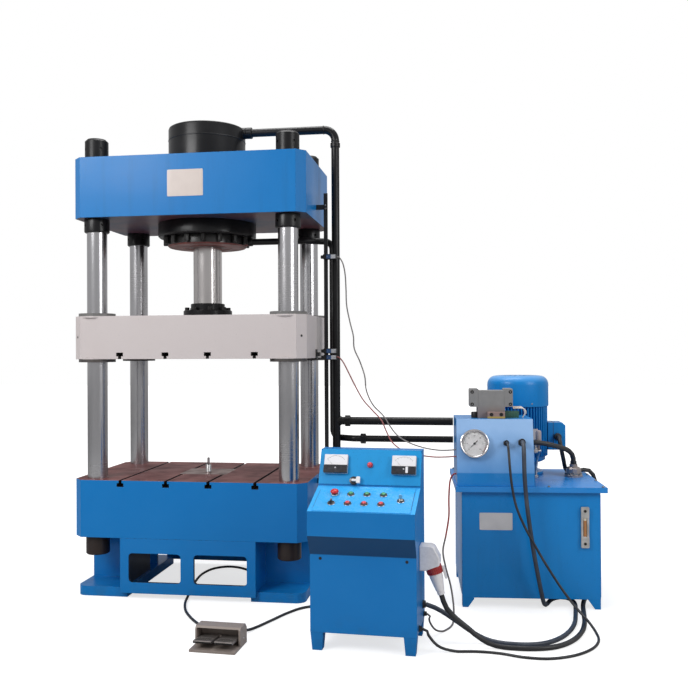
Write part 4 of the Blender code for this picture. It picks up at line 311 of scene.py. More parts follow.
# Foot switch cords: one runs round under the press, over its foot plate, and back to the
# console's rear, the other goes straight there. Both leave the switch at its back.
grey_rubber = rubber("grey_cord", (0.02, 0.02, 0.021), (0.075, 0.073, 0.07))
cable("foot_cable", [
    (0.3351, -1.051, 0.045), (0.3359, -1.036, 0.045), (0.322, -1.01, 0.04), (0.292, -0.955, 0.016),
    (0.222, -0.868, 0.008), (0.14, -0.762, 0.008), (0.066, -0.64, 0.008), (0.014, -0.5, 0.008),
    (-0.014, -0.37, 0.008), (-0.046, -0.2, 0.008), (-0.076, -0.03, 0.008), (-0.086, 0.13, 0.008),
    (-0.056, 0.262, 0.008), (0.018, 0.328, 0.008), (0.106, 0.318, 0.008), (0.19, 0.258, 0.008),
    (0.25, 0.198, 0.022), (0.305, 0.158, 0.058), (0.36, 0.125, 0.0685), (0.44, 0.094, 0.066),
    (0.52, 0.066, 0.0655), (0.61, 0.038, 0.066), (0.69, 0.012, 0.068), (0.745, -0.014, 0.042),
    (0.795, -0.052, 0.011), (0.87, -0.13, 0.008), (0.965, -0.26, 0.008), (1.04, -0.4, 0.008),
    (1.085, -0.53, 0.008), (1.102, -0.64, 0.02), (1.106, -0.72, 0.075), (1.105, -0.7516, 0.11),
    (1.104, -0.7716, 0.11)], 0.015, grey_rubber)
cable("foot_lead", [
    (0.4899, -1.059, 0.045), (0.4906, -1.044, 0.045), (0.468, -1.006, 0.04), (0.5, -0.93, 0.014),
    (0.545, -0.83, 0.008), (0.59, -0.725, 0.008), (0.64, -0.61, 0.008), (0.705, -0.505, 0.008),
    (0.79, -0.455, 0.008), (0.875, -0.478, 0.008), (0.94, -0.56, 0.008), (0.972, -0.65, 0.024),
    (0.985, -0.725, 0.078), (0.985, -0.7453, 0.114),
    (0.9839, -0.7653, 0.114)], 0.015, grey_rubber)

# Limit switch wires: thin pale grey leads that sag from the switches on the rail to the stand.
wire_grey = rubber("grey_wire", (0.17, 0.16, 0.16), (0.26, 0.23, 0.22))
wire_red = rubber("faded_red_wire", (0.3, 0.085, 0.085), (0.32, 0.17, 0.16))
cable("upper_limit_wire", [
    (0.8433, -0.066, 2.048), (0.8513, -0.066, 2.048), (0.862, -0.066, 2.044),
    (0.884, -0.062, 2.006), (0.896, -0.05, 1.94), (0.9, -0.042, 1.85), (0.903, -0.04, 1.75),
    (0.922, -0.04, 1.65), (0.944, -0.042, 1.56), (0.95, -0.044, 1.48), (0.985, -0.048, 1.4),
    (1.015, -0.052, 1.31), (1.026, -0.056, 1.22), (1.066, -0.064, 1.135), (1.13, -0.074, 1.07),
    (1.178, -0.09, 1), (1.222, -0.115, 0.952), (1.29, -0.15, 0.915), (1.38, -0.19, 0.89),
    (1.47, -0.225, 0.88), (1.545, -0.246, 0.884), (1.562, -0.2527, 0.888),
    (1.573, -0.2519, 0.888)], 0.008, wire_grey)
cable("lower_limit_wire", [
    (0.8433, -0.066, 1.427), (0.8513, -0.066, 1.427), (0.862, -0.068, 1.424),
    (0.888, -0.078, 1.392), (0.92, -0.086, 1.332), (0.962, -0.094, 1.25), (1.01, -0.102, 1.168),
    (1.07, -0.112, 1.102), (1.124, -0.126, 1.046), (1.154, -0.142, 0.984), (1.19, -0.162, 0.92),
    (1.25, -0.186, 0.876), (1.34, -0.216, 0.852), (1.44, -0.242, 0.842), (1.52, -0.258, 0.845),
    (1.55, -0.262, 0.848), (1.563, -0.2726, 0.85), (1.575, -0.2719, 0.85)], 0.008, wire_red)

# Plinth: two thick foot plates, a boxed middle with two windows a side and webs, welded from
# plate and sprayed blue. Within the windows its inside is painted almost black: painted shade.
def edges(paint, radius, low, high):
    """Rounded corners: a normal that bends over them, and how bare each one has worn."""
    soft = paint.node("Bevel", {"samples": 4}, Radius=radius)
    return soft, (1 - soft.dot(paint.normal())).clip(low, high)


def sprayed(place, worn, size=2.6):
    """What all sprayed paint shows: faded clouds, chips at worn corners and orange peel."""
    cloud = place.noise(size, 6.0).clip(0.38, 0.7)
    chip = place.noise(55.0, 5.0).clip(0.48, 0.6) * worn
    return cloud, chip, place.noise(420.0, 1.0)


def enamel(name, colour, pale, under, gloss=0.28, grime=0.5, coat=0.08, beneath=None, above=None):
    """Sprayed enamel on steel plate: faint orange peel, cloudy dust, drips and chipped corners."""
    made, shader, paint, place = finish(name, coat=coat, ior=1.32, coat_roughness=0.12)
    soft, worn = edges(paint, 0.0035, 0.012, 0.1)
    cloud, chip, peel = sprayed(place, worn)
    streak = place.noise(3.0, 4.0, (9.0, 9.0, 0.7)).clip(0.52, 0.78)
    speck = place.noise(160.0, 2.0).clip(0.66, 0.74)
    shade = (cloud * 0.22).blend(colour, pale)
    shade = (streak * grime * 0.3).blend(shade, under)
    shade = (speck * 0.35).blend(shade, under)
    shade = (chip * 0.75).blend(shade, under)
    if beneath:
        below = paint.normal().axis(2).clip(-0.8, -0.95)
        shade = below.blend(shade, cloud.blend(beneath, under))
    # A colour given as above paints the upward faces paler: a painted highlight.
    if above:
        top = paint.normal().axis(2).clip(0.3, 0.98)
        shade = (top * (1 - cloud * 0.4)).blend(shade, above)
    wear(paint, shader, shade, peel * 0.06 + cloud * 0.1 + chip * 0.25 + gloss, peel, 0.00025, soft)
    return made


def dress(node, material):
    """Gives a piece of the frame its finish."""
    for slot in NODES[node].material_slots:
        slot.material = material


BLUE, FADED_BLUE = (0.002, 0.175, 0.5), (0.014, 0.22, 0.57)
BARE_PRIMER = (0.008, 0.055, 0.12)


def off_middle(place):
    """How far each place is from the press's middle, on either side of it."""
    moved = place.node("VectorMath", {"operation": "SUBTRACT"}, i0=place, i1=PRESS)
    return place.node("VectorMath", {"operation": "ABSOLUTE"}, i0=moved)


def plinth_finish():
    made, shader, paint, place = finish("plinth_enamel_primer_and_painted_shade", coat=0.08, ior=1.32)
    soft, worn = edges(paint, 0.0035, 0.012, 0.1)
    aside = off_middle(place)
    # This mask is the box's inside, seen through the windows: it is painted almost black as painted
    # shade.
    primer = (aside.axis(0).clip(0.394, 0.393) * aside.axis(1).clip(0.424, 0.42)
              * place.axis(2).clip(0.06, 0.064))
    low = place.axis(2).clip(0.1, 0.0)
    cloud, chip, peel = sprayed(place, worn)
    splash = low * place.noise(16.0, 6.0).clip(0.44, 0.62)
    scuff = place.noise(1.0, 5.0, (14.0, 60.0, 40.0)).clip(0.66, 0.72)
    shade = (cloud * 0.22).blend(BLUE, FADED_BLUE)
    shade = (splash * 0.3 + scuff * 0.2).blend(shade, (0.03, 0.11, 0.2))
    shade = (chip * 0.75).blend(shade, BARE_PRIMER)
    shade = (primer * 0.92).blend(shade, (0.01, 0.01, 0.014))
    wear(paint, shader, shade, peel * 0.06 + cloud * 0.1 + splash * 0.12 + chip * 0.2 + 0.28, peel,
         0.00025, soft)
    return made


dress("plinth", plinth_finish())


# Bed: one heavy beam, blue outside, with its table milled flat and left bare. Oil and handling
# have turned the milled top brown; the T-slots and mouths are painted near black: painted shade.
def milled(name, colour, stain, roughness, scale=1.0):
    """Bare milled steel: cutter lines one way, stains of oil and rust in soft clouds."""
    made, shader, paint, place = finish(name, metallic=1.0)
    soft, worn = edges(paint, 0.0012, 0.02, 0.12)
    lines = place.noise(1.0, 3.0, (6.0 * scale, 420.0 * scale, 6.0))
    cloud = place.noise(7.0 * scale, 6.0).clip(0.36, 0.66)
    shade = cloud.blend(colour, stain)
    shade = (worn * 0.6).blend(shade, (0.55, 0.53, 0.52))
    wear(paint, shader, shade, lines * 0.14 + cloud * 0.12 + roughness, lines, 0.0004, soft)
    return made


BEAM_X, BEAM_Y, BEAM_CORNER, SKIN = 0.7146, 0.4246, 1.0872, 0.0004


def inside_beam(place):
    """1 within the slots and holes of a beam, 0 on its outer faces and cut corners."""
    aside = off_middle(place)
    return (aside.axis(0).clip(BEAM_X, BEAM_X - SKIN) * aside.axis(1).clip(BEAM_Y, BEAM_Y - SKIN)
            * aside.dot((1, 1, 0)).clip(BEAM_CORNER, BEAM_CORNER - SKIN))


TABLE_TOP = 0.7


def bed_finish():
    made, shader, paint, place = finish("bed_enamel_and_milled_table", ior=1.33)
    soft, worn = edges(paint, 0.0035, 0.012, 0.1)
    height = place.axis(2)
    bare = height.clip(TABLE_TOP - 0.0015, TABLE_TOP - 0.001)
    slot = inside_beam(place) * height.clip(0.6, 0.605) * (1 - bare)
    cloud = place.noise(2.6, 6.0).clip(0.38, 0.7)
    stain = place.noise(8.0, 7.0).clip(0.36, 0.66)
    lines = place.noise(1.0, 3.0, (6.0, 420.0, 6.0))
    chip = place.noise(55.0, 5.0).clip(0.48, 0.6) * worn
    oil = height.clip(0.69, 0.64) * place.noise(24.0, 3.0).clip(0.55, 0.7)
    coat = (cloud * 0.22).blend(BLUE, FADED_BLUE)
    coat = (chip * 0.75).blend(coat, (0.02, 0.06, 0.115))
    table = stain.blend((0.235, 0.062, 0.056), (0.125, 0.036, 0.036))
    table = (worn * 0.5).blend(table, (0.42, 0.36, 0.36))
    # Inside the T-slots the paint is made almost black: painted shade.
    coat = slot.blend(coat, (0.02, 0.016, 0.018))
    wear(paint, shader, bare.blend(coat, table), lines * 0.1 + stain * 0.12 + bare * 0.12
         + oil * 0.05 + 0.25, lines * bare, 0.0004, soft)
    paint.put(shader.inputs["Metallic"], bare * 0.15)
    return made


dress("bed", bed_finish())

# Centre plate: a square steel insert let into the table flush, ground, and held by four
# countersunk screws; the ejector comes up through the hole in its middle.
table_insert = milled("ground_insert", (0.34, 0.22, 0.2), (0.2, 0.115, 0.105), 0.26, 1.6)
dress("centre_plate", table_insert)


def shape_of():
    return bmesh.new()


def turned(shape, profile, sides=64, at=(0, 0, 0), turn=None):
    """A solid spun from radius and height pairs; an outline left open is closed."""
    before = set(shape.verts)
    if profile[0][0] and profile[-1][0] and profile[0] != profile[-1]:
        profile = profile + [profile[0]]
    elif profile[-1][0] and not profile[0][0]:
        profile = profile + [(0, profile[-1][1])]
    elif profile[0][0] and not profile[-1][0]:
        profile = [(0, profile[0][1])] + profile
    points = [shape.verts.new((radius, 0, height)) for radius, height in profile]
    lines = [shape.edges.new(pair) for pair in zip(points, points[1:])]
    bmesh.ops.spin(shape, geom=points + lines, axis=(0, 0, 1), cent=(0, 0, 0), steps=sides,
                   angle=math.tau, use_duplicate=False)
    fresh = [v for v in shape.verts if v not in before]
    bmesh.ops.remove_doubles(shape, verts=fresh, dist=1e-6)
    fresh = [v for v in shape.verts if v not in before]
    place = Matrix.Translation(Vector(at)) @ (turn or Matrix.Identity(4))
    bmesh.ops.transform(shape, matrix=place, verts=fresh)


def extruded(shape, outline, low, high, at=(0, 0, 0), turn=None):
    """A flat outline given thickness along its own z."""
    base = [shape.verts.new((x, y, low)) for x, y in outline]
    top = [shape.verts.new((x, y, high)) for x, y in outline]
    shape.faces.new(base[::-1])
    shape.faces.new(top)
    for i in range(len(base)):
        j = (i + 1) % len(base)
        shape.faces.new((base[i], base[j], top[j], top[i]))
    place = Matrix.Translation(Vector(at)) @ (turn or Matrix.Identity(4))
    bmesh.ops.transform(shape, matrix=place, verts=base + top)


def block(shape, low, high):
    (x0, y0, z0), (x1, y1, z1) = low, high
    extruded(shape, [(x0, y0), (x1, y0), (x1, y1), (x0, y1)], z0, z1)


def rounded_box(width, height, radius, steps=5, middle=(0, 0)):
    """The outline of a plate with round corners."""
    points = []
    for corner in range(4):
        cx = (width / 2 - radius) * (1 if corner in (0, 3) else -1) + middle[0]
        cy = (height / 2 - radius) * (1 if corner < 2 else -1) + middle[1]
        for step in range(steps + 1):
            angle = math.pi / 2 * (corner + step / steps)
            points.append((cx + radius * math.cos(angle), cy + radius * math.sin(angle)))
    return points


def made_piece(name, shape, material, slot, stands_for=(), body="machine", place=None, edge=0.0):
    """Turns a shape into a piece that rides on its body, its edges rounded where that is asked."""
    bmesh.ops.recalc_face_normals(shape, faces=shape.faces)
    mesh = bpy.data.meshes.new(name)
    shape.to_mesh(mesh)
    shape.free()
    for face in mesh.polygons:
        face.use_smooth = True
    mesh.set_sharp_from_angle(angle=math.radians(32))
    mesh.materials.append(material)
    made = bpy.data.objects.new(name, mesh)
    bpy.context.collection.objects.link(made)
    made.matrix_world = place if place is not None else Matrix.Translation(PRESS)
    if edge:
        softened = made.modifiers.new("edges", "BEVEL")
        softened.width = edge
        softened.segments = 2
        softened.limit_method = "ANGLE"
        softened.angle_limit = math.radians(40)
    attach(made, body)
    if stands_for:
        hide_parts(*stands_for)
    return made


insert_screws = shape_of()
for x in (-0.125, 0.125):
    for y in (-0.1, 0.1):
        turned(insert_screws, [(0, 0.0004), (0.004, 0.0004), (0.0045, 0.001), (0.0075, 0.001),
                               (0.0085, 0.0002), (0.0085, 0)], 20, (x, y, TABLE_TOP))
steel_fastener = milled("steel_fastener", (0.4, 0.39, 0.38), (0.16, 0.14, 0.13), 0.3, 8.0)
made_piece("insert_screws", insert_screws, steel_fastener, "oiled_steel")


# Columns: four ground and polished steel bars, 120 mm thick, each drawn tight by round nuts under
# the bed and on both faces of the crosshead. The nuts are blackened and have spanner holes.
def polished(name, colour=(0.545, 0.54, 0.56), roughness=0.15, around=True, ends_above=None):
    """Ground bar: hair lines round it, faint scratches and dull clouds of dry oil. Above a
    height it may be black."""
    made, shader, paint, place = finish(name, metallic=1.0)
    lines = place.noise(1.0, 4.0, (8.0, 8.0, 900.0) if around else (900.0, 8.0, 8.0))
    cloud = place.noise(3.4, 5.0).clip(0.4, 0.72)
    scratch = place.noise(1.0, 6.0, (190.0, 190.0, 1.6)).clip(0.7, 0.76)
    shade = (cloud * 0.35).blend(colour, (0.4, 0.39, 0.39))
    shade = (scratch * 0.4).blend(shade, (0.3, 0.3, 0.3))
    if ends_above:
        end = place.axis(2).clip(ends_above, ends_above + 0.002)
        shade = end.blend(shade, (0.03, 0.029, 0.03))
        roughness = end * 0.3 + roughness
    wear(paint, shader, shade, lines * 0.1 + cloud * 0.1 + scratch * 0.12 + roughness, lines,
         0.00012)
    return made


def black_gloss(name, colour=(0.006, 0.006, 0.007), roughness=0.26, dust=0.22):
    """Black machinery enamel: glossy, thin at the corners, with settled dust."""
    made, shader, paint, place = finish(name, coat=0.05, ior=1.33, coat_roughness=0.1)
    soft, worn = edges(paint, 0.002, 0.02, 0.14)
    cloud = place.noise(5.0, 6.0).clip(0.42, 0.74)
    peel = place.noise(380.0, 1.0)
    above = paint.normal().axis(2).clip(0.3, 0.9)
    shade = ((cloud * 0.4 + above * 0.4) * dust).blend(colour, (0.055, 0.053, 0.052))
    shade = (worn * 0.35).blend(shade, (0.09, 0.08, 0.072))
    wear(paint, shader, shade, peel * 0.06 + cloud * 0.16 + above * 0.08 + roughness, peel, 0.0003,
         soft)
    return made


column_steel = polished("polished_column", ends_above=2.62)
machine_black = black_gloss("machine_black")
browned_nut = black_gloss("browned_nut", (0.022, 0.014, 0.012), 0.34)


def drilled(piece, holes):
    """Cuts holes in a finished piece and takes the cutter away again."""
    bmesh.ops.recalc_face_normals(holes, faces=holes.faces)
    mesh = bpy.data.meshes.new("drill")
    holes.to_mesh(mesh)
    holes.free()
    drill = bpy.data.objects.new("drill", mesh)
    bpy.context.collection.objects.link(drill)
    drill.matrix_world = piece.matrix_world
    mesh.materials.append(piece.data.materials[0])
    bore = piece.modifiers.new("holes", "BOOLEAN")
    bore.operation = "DIFFERENCE"
    bore.solver = "EXACT"
    bore.object = drill
    bpy.context.view_layer.update()
    graph = bpy.context.evaluated_depsgraph_get()
    done = bpy.data.meshes.new_from_object(piece.evaluated_get(graph))
    piece.modifiers.remove(bore)
    piece.data = done
    done.set_sharp_from_angle(angle=math.radians(32))
    bpy.data.objects.remove(drill)


def spun(degrees, axis="Z"):
    return Matrix.Rotation(math.radians(degrees), 4, axis)


def around(radius, degrees):
    """The x and y of a place on a circle."""
    return radius * math.cos(math.radians(degrees)), radius * math.sin(math.radians(degrees))


def pin_holes(places, radius, low, high, axis_turns):
    holes = shape_of()
    for place in places:
        for turn in axis_turns:
            turned(holes, [(0, low), (radius, low), (radius, high)], 20, place, turn)
    return holes


sideways = spun(90, "Y")
quarters = [spun(45 + 90 * quarter) @ sideways for quarter in range(4)]
COLUMN_X, COLUMN_Y, COLUMN_RADIUS, NUT_BORE = 0.5965, 0.329, 0.06, 0.0604
for column, (x, y) in {"front_left": (-COLUMN_X, -COLUMN_Y), "front_right": (COLUMN_X, -COLUMN_Y),
                       "rear_left": (-COLUMN_X, COLUMN_Y),
                       "rear_right": (COLUMN_X, COLUMN_Y)}.items():
    bar = shape_of()
    turned(bar, [(0, 0.2457), (0.052, 0.2457), (COLUMN_RADIUS, 0.2537), (COLUMN_RADIUS, 2.7583),
                 (0.056, 2.7628)], 72, (x, y, 0))
    made_piece("bar_" + column, bar, column_steel, "polished_steel", ("column_" + column,))
    nuts = shape_of()
    turned(nuts, [(NUT_BORE, 2.1927), (0.069, 2.1927), (0.075, 2.1987), (0.075, 2.271),
                  (0.0735, 2.2757), (NUT_BORE, 2.2757)], 64, (x, y, 0))
    turned(nuts, [(NUT_BORE, 2.6403), (0.0685, 2.6403), (0.07, 2.6423), (0.07, 2.749),
                  (0.064, 2.755), (NUT_BORE, 2.755)], 64, (x, y, 0))
    nut_pair = made_piece("nuts_" + column, nuts, machine_black, "black_paint")
    drilled(nut_pair, pin_holes([(x, y, 2.2345), (x, y, 2.698)], 0.0088, 0.064, 0.084, quarters))
    under = shape_of()
    turned(under, [(NUT_BORE, 0.2417), (0.0635, 0.241), (0.07, 0.247), (0.07, 0.3537),
                   (0.069, 0.3557), (NUT_BORE, 0.3557)], 64, (x, y, 0))
    made_piece("foot_nut_" + column, under, browned_nut, "black_paint")


# Slide: the moving beam, painted warm grey, milled below for its T-slots. Bronze-bushed flanges
# guide it on the columns: grey castings on top, blackened ones below, and a black striker at its
# right side works the limit switches. They share the beam's solid, so height picks their finish.
def slide_finish():
    made, shader, paint, place = finish("slide_enamel_and_castings")
    soft, worn = edges(paint, 0.0035, 0.012, 0.1)
    height = place.axis(2)
    across = place.axis(0)
    top_casting = height.clip(1.6822, 1.6826)
    # Inside the T-slots the beam takes the lower castings' dark colour: painted shade.
    slot = inside_beam(place) * height.clip(1.53, 1.525)
    under = (height.clip(1.4236, 1.4226) + slot).clip(0.0, 1.0)
    striker = across.clip(PRESS.x + 0.7152, PRESS.x + 0.7156)
    cloud = place.noise(3.0, 6.0).clip(0.4, 0.7)
    speck = place.noise(130.0, 2.0).clip(0.68, 0.76)
    chip = place.noise(50.0, 5.0).clip(0.5, 0.6) * worn
    grain = place.noise(240.0, 3.0)
    shade = (cloud * 0.3).blend((0.6, 0.545, 0.542), (0.545, 0.48, 0.475))
    shade = (speck * 0.25).blend(shade, (0.25, 0.22, 0.21))
    shade = (chip * 0.6).blend(shade, (0.22, 0.19, 0.18))
    shade = top_casting.blend(shade, (cloud * 0.5).blend((0.18, 0.176, 0.174), (0.12, 0.11, 0.105)))
    shade = under.blend(shade, (cloud * 0.5).blend((0.06, 0.054, 0.052), (0.11, 0.09, 0.085)))
    shade = striker.blend(shade, (0.012, 0.012, 0.013))
    wear(paint, shader, shade, grain * 0.08 + cloud * 0.08 + top_casting * 0.06 + 0.3, grain,
         0.0003, soft)
    return made


dress("slide", slide_finish())

# Lifting holes: a hole in each cut corner face of the slide, tapped for an eye bolt. Nothing can
# be seen inside it, so each one is a raised rim round a dark disc: painted shade for the hole.
# This dark material is painted shade in the lifting holes and fastener slots, and the desk's dark
# seams.
hole_shade_and_seams = rubber("painted_hole_shade_and_seams", (0.006, 0.006, 0.007), (0.02, 0.02, 0.02))
taps = shape_of()
for x, y, angle in ((-1, -1, 225), (1, -1, 315), (-1, 1, 135), (1, 1, 45)):
    turn = spun(angle) @ sideways
    turned(taps, [(0, 0.0002), (0.005, 0.0002), (0.006, 0.0008), (0.007, 0.0008), (0.0074, 0.0004),
                  (0.0074, -0.0006)], 24, (x * 0.689, y * 0.399, 1.556), turn)
made_piece("slide_lifting_holes", taps, hole_shade_and_seams, "black_paint", body="slide_group")

# Piston rod and its clamp: a ground rod, 180 mm thick, held to the slide by a two-step flange with
# eight cap screws. The flange is black, the rod is bright.
ROD_BORE = 0.0906
rod_shape = shape_of()
turned(rod_shape, [(0, 1.6825), (0.09, 1.6825), (0.09, 2.512), (0.169, 2.512), (0.169, 2.5915)], 96)
made_piece("bright_rod", rod_shape, polished("polished_rod", (0.6, 0.57, 0.565), 0.13),
           "polished_steel", ("piston_rod",), "slide_group")
clamp = shape_of()
turned(clamp, [
    (ROD_BORE, 1.6825), (0.152, 1.6825), (0.1535, 1.684), (0.1535, 1.7225), (0.15, 1.727),
    (0.11, 1.7272), (0.1075, 1.73), (0.1075, 1.7665), (0.104, 1.77), (ROD_BORE, 1.77)], 96)
made_piece("rod_clamp", clamp, machine_black, "black_paint", ("rod_flange",), "slide_group")


def cap_screw(shape, place, radius, height, turn=None):
    """A socket cap screw: knurled round head with a hexagon pocket in its top."""
    turned(shape, [
        (radius * 0.55, height * 0.55), (radius * 0.55, height), (radius * 0.9, height),
        (radius, height * 0.9), (radius, 0.0), (0, 0.0), (0, height * 0.55)], 24, place, turn)


clamp_screws = shape_of()
for number in range(8):
    cap_screw(clamp_screws, (*around(0.1305, 45 * number + 22.5), 1.7273), 0.0145, 0.0195)
blackened_screw = black_gloss("blackened_screw", (0.016, 0.015, 0.015), 0.3)
made_piece("clamp_screws", clamp_screws, blackened_screw, "black_paint", body="slide_group")

# Crosshead: the fixed upper beam, one solid, sprayed blue and left reddish brown underneath.
# A thin cream enamelled plate is riveted to the middle of its front.
dress("crosshead", enamel("crosshead_enamel", BLUE, FADED_BLUE, BARE_PRIMER,
                          beneath=(0.12, 0.046, 0.058)))


def plate_metal(name, colour, border):
    """A thin enamelled plate: a little waxy, rubbed at its corners, lightly scratched."""
    made, shader, paint, place = finish(name, coat=0.2)
    soft, worn = edges(paint, 0.0006, 0.02, 0.2)
    cloud = place.noise(14.0, 5.0).clip(0.35, 0.7)
    scratch = place.noise(1.0, 5.0, (30.0, 400.0, 400.0)).clip(0.66, 0.74)
    shade = (cloud * 0.3).blend(colour, border)
    shade = (worn * 0.6).blend(shade, (0.35, 0.34, 0.33))
    wear(paint, shader, shade, cloud * 0.12 + scratch * 0.15 + 0.28, scratch, 0.0002, soft)
    return made


def bare_plate(name, width, height, place, plate, rivet, slot="white_plastic", inset=0.01):
    """A bare plate with round corners and a raised border, on four rivets. It faces local +z."""
    sheet = shape_of()
    extruded(sheet, rounded_box(width, height, 0.006), 0.0002, 0.0012)
    extruded(sheet, rounded_box(width - 2 * inset, height - 2 * inset, 0.004), 0.001, 0.0015)
    made_piece(name, sheet, plate, slot, place=place, edge=0.0003)
    heads = shape_of()
    for x in (-1, 1):
        for y in (-1, 1):
            turned(heads, [(0, 0.003), (0.0014, 0.0028), (0.0026, 0.002), (0.003, 0.001)], 16,
                   (x * (width / 2 - 0.0055), y * (height / 2 - 0.0055), 0))
    made_piece(name + "_rivets", heads, rivet, "polished_steel", place=place)


to_front = spun(90, "X")
cream_plate = plate_metal("cream_plate", (0.62, 0.54, 0.5), (0.52, 0.44, 0.41))
bright_rivet = polished("bright_rivet", (0.62, 0.62, 0.62), 0.25)
plate_seat = Matrix.Translation(PRESS + Vector((-0.003, -0.425, 2.4655))) @ to_front
bare_plate("crosshead_plate", 0.22, 0.158, plate_seat, cream_plate, bright_rivet)

# Main cylinder: a forged black barrel hung through the crosshead on its flange, capped at the top,
# with the oil port on its right. Sixteen hexagon bolts stand round the gland below it, whose
# underside is oxide red.
barrel = shape_of()
turned(barrel, [
    (0.17, 2.188), (0.301, 2.188), (0.309, 2.196), (0.309, 2.27), (0.306, 2.2757), (0.243, 2.2757),
    (0.243, 2.87), (0.2395, 2.88), (0.231, 2.885), (0, 2.885), (0, 2.8), (0.17, 2.8)], 128)
turned(barrel, [(0, 0.225), (0.0355, 0.225), (0.0355, 0.259), (0.034, 0.261)], 48, (0, 0, 2.853),
       sideways)
made_piece("forged_barrel", barrel, machine_black, "black_paint", ("cylinder_barrel",))
seam = shape_of()
turned(seam, [(0.2431, 2.7995), (0.2445, 2.801), (0.2448, 2.803), (0.2445, 2.805),
              (0.2431, 2.8065)], 128)
made_piece("barrel_weld", seam, machine_black, "black_paint")


def gland_finish():
    made, shader, paint, place = finish("gland_black_and_oxide")
    soft, worn = edges(paint, 0.0015, 0.02, 0.14)
    below = paint.normal().axis(2).clip(-0.55, -0.75)
    cloud = place.noise(12.0, 6.0).clip(0.36, 0.7)
    shade = below.blend((0.014, 0.013, 0.013), cloud.blend((0.23, 0.055, 0.046),
                                                           (0.12, 0.034, 0.03)))
    shade = (worn * 0.4).blend(shade, (0.16, 0.13, 0.12))
    wear(paint, shader, shade, cloud * 0.16 + below * 0.1 + 0.24, cloud, 0.0003, soft)
    return made


gland = shape_of()
turned(gland, [
    (ROD_BORE, 2.129), (0.118, 2.129), (0.122, 2.1325), (0.15, 2.1325), (0.154, 2.129),
    (0.242, 2.129), (0.25, 2.137), (0.25, 2.184), (0.2485, 2.1877), (0.1694, 2.1877),
    (0.1694, 2.2018), (ROD_BORE, 2.2018)], 128)
turned(gland, [(0, 0.232), (0.026, 0.232), (0.026, 0.268), (0.0245, 0.27)], 40, (0, 0, 2.16),
       sideways)
oxide_gland = gland_finish()
made_piece("gland", gland, oxide_gland, "black_paint", ("cylinder_gland",))


def hex_head(shape, place, across, height, turn=None, angle=0.0):
    """A hexagon bolt's head with its corners turned off, on a thin washer face."""
    flats = [around(across / math.sqrt(3), angle + 60 * k) for k in range(6)]
    extruded(shape, flats, height * 0.1, height * 0.86, place, turn)
    extruded(shape, [(x * 0.9, y * 0.9) for x, y in flats], height * 0.8, height, place, turn)
    turned(shape, [(0, 0), (across * 0.56, 0), (across * 0.56, height * 0.12)], 24, place, turn)


gland_bolts = shape_of()
downward = spun(180, "X")
for number in range(16):
    angle = 22.5 * (number + 0.5)
    hex_head(gland_bolts, (*around(0.2655, angle), 2.1879), 0.027, 0.046, downward, angle)
made_piece("gland_bolts", gland_bolts, blackened_screw, "black_paint", edge=0.0004)
wiper = shape_of()
turned(wiper, [(0.0907, 2.1335), (0.0925, 2.1305), (0.1, 2.1285), (0.106, 2.1292), (0.108, 2.133)],
       96)
made_piece("rod_wiper", wiper, rubber("wiper_rubber", (0.03, 0.012, 0.011), (0.06, 0.04, 0.035)),
           "cable_sheath")

# Ejector: a small black cylinder that hangs under the bed, inside the plinth. Its stepped bright
# rod lifts the work off the table through the centre plate.
dress("ejector_cylinder", machine_black)
pusher = shape_of()
turned(pusher, [
    (0, 0.4128), (0.038, 0.4128), (0.0394, 0.4142), (0.0394, 0.4365), (0.038, 0.4378),
    (0.017, 0.4378), (0.017, 0.743), (0.0158, 0.745), (0.008, 0.7512), (0.008, 0.7862),
    (0.0052, 0.7896), (0, 0.79)], 48)
made_piece("ejector_pusher", pusher, polished("pusher_steel", (0.56, 0.55, 0.55), 0.2),
           "polished_steel", ("ejector_rod",), "ejector")

# Limit switches: three small black switches clamped to a flat black rail that stands beside the
# press, each with a bright roller plunger towards the slide.
switch_black = black_gloss("switch_black", (0.014, 0.014, 0.016), 0.32, 0.6)
dress("switch_rail", switch_black)
SWITCH_HEIGHTS = (2.048, 1.466, 1.427)
rollers = shape_of()
caps = shape_of()
leftward = spun(-90, "Y")
for height in SWITCH_HEIGHTS:
    turned(rollers, [(0, 0.0285), (0.0045, 0.0282), (0.0075, 0.0265), (0.008, 0.024)], 24,
           (0.775, -0.066, height), leftward)
    extruded(caps, rounded_box(0.058, 0.024, 0.003, 3), 0.0002, 0.0022, (0.812, -0.0842, height),
             to_front)
made_piece("switch_plungers", rollers, bright_rivet, "polished_steel")


def cover_finish():
    """The switches' covers: blue lacquer, with the far end left bright."""
    made, shader, paint, place = finish("switch_cover")
    soft, worn = edges(paint, 0.0008, 0.02, 0.14)
    grain = place.noise(70.0, 4.0).clip(0.4, 0.66)
    bright = place.axis(0).clip(0.811, 0.813)
    shade = bright.blend((0.02, 0.08, 0.23), (0.56, 0.57, 0.6))
    shade = (grain * 0.35 + worn * 0.3).blend(shade, (0.1, 0.1, 0.11))
    wear(paint, shader, shade, grain * 0.12 + 0.28, grain, 0.0001, soft)
    return made


made_piece("switch_caps", caps, cover_finish(), "black_plastic", edge=0.0005)
rail_screws = shape_of()
for height in (2.372, 2.35, 0.652, 0.668):
    cap_screw(rail_screws, (0.775, -0.0502, height), 0.0052, 0.0048, to_front)
for height in SWITCH_HEIGHTS:
    for x in (0.79, 0.834):
        turned(rail_screws, [(0, 0.0038), (0.0018, 0.0036), (0.0026, 0.0024), (0.0026, 0.002)], 12,
               (x, -0.0842, height), to_front)
made_piece("rail_screws", rail_screws, steel_fastener, "polished_steel")

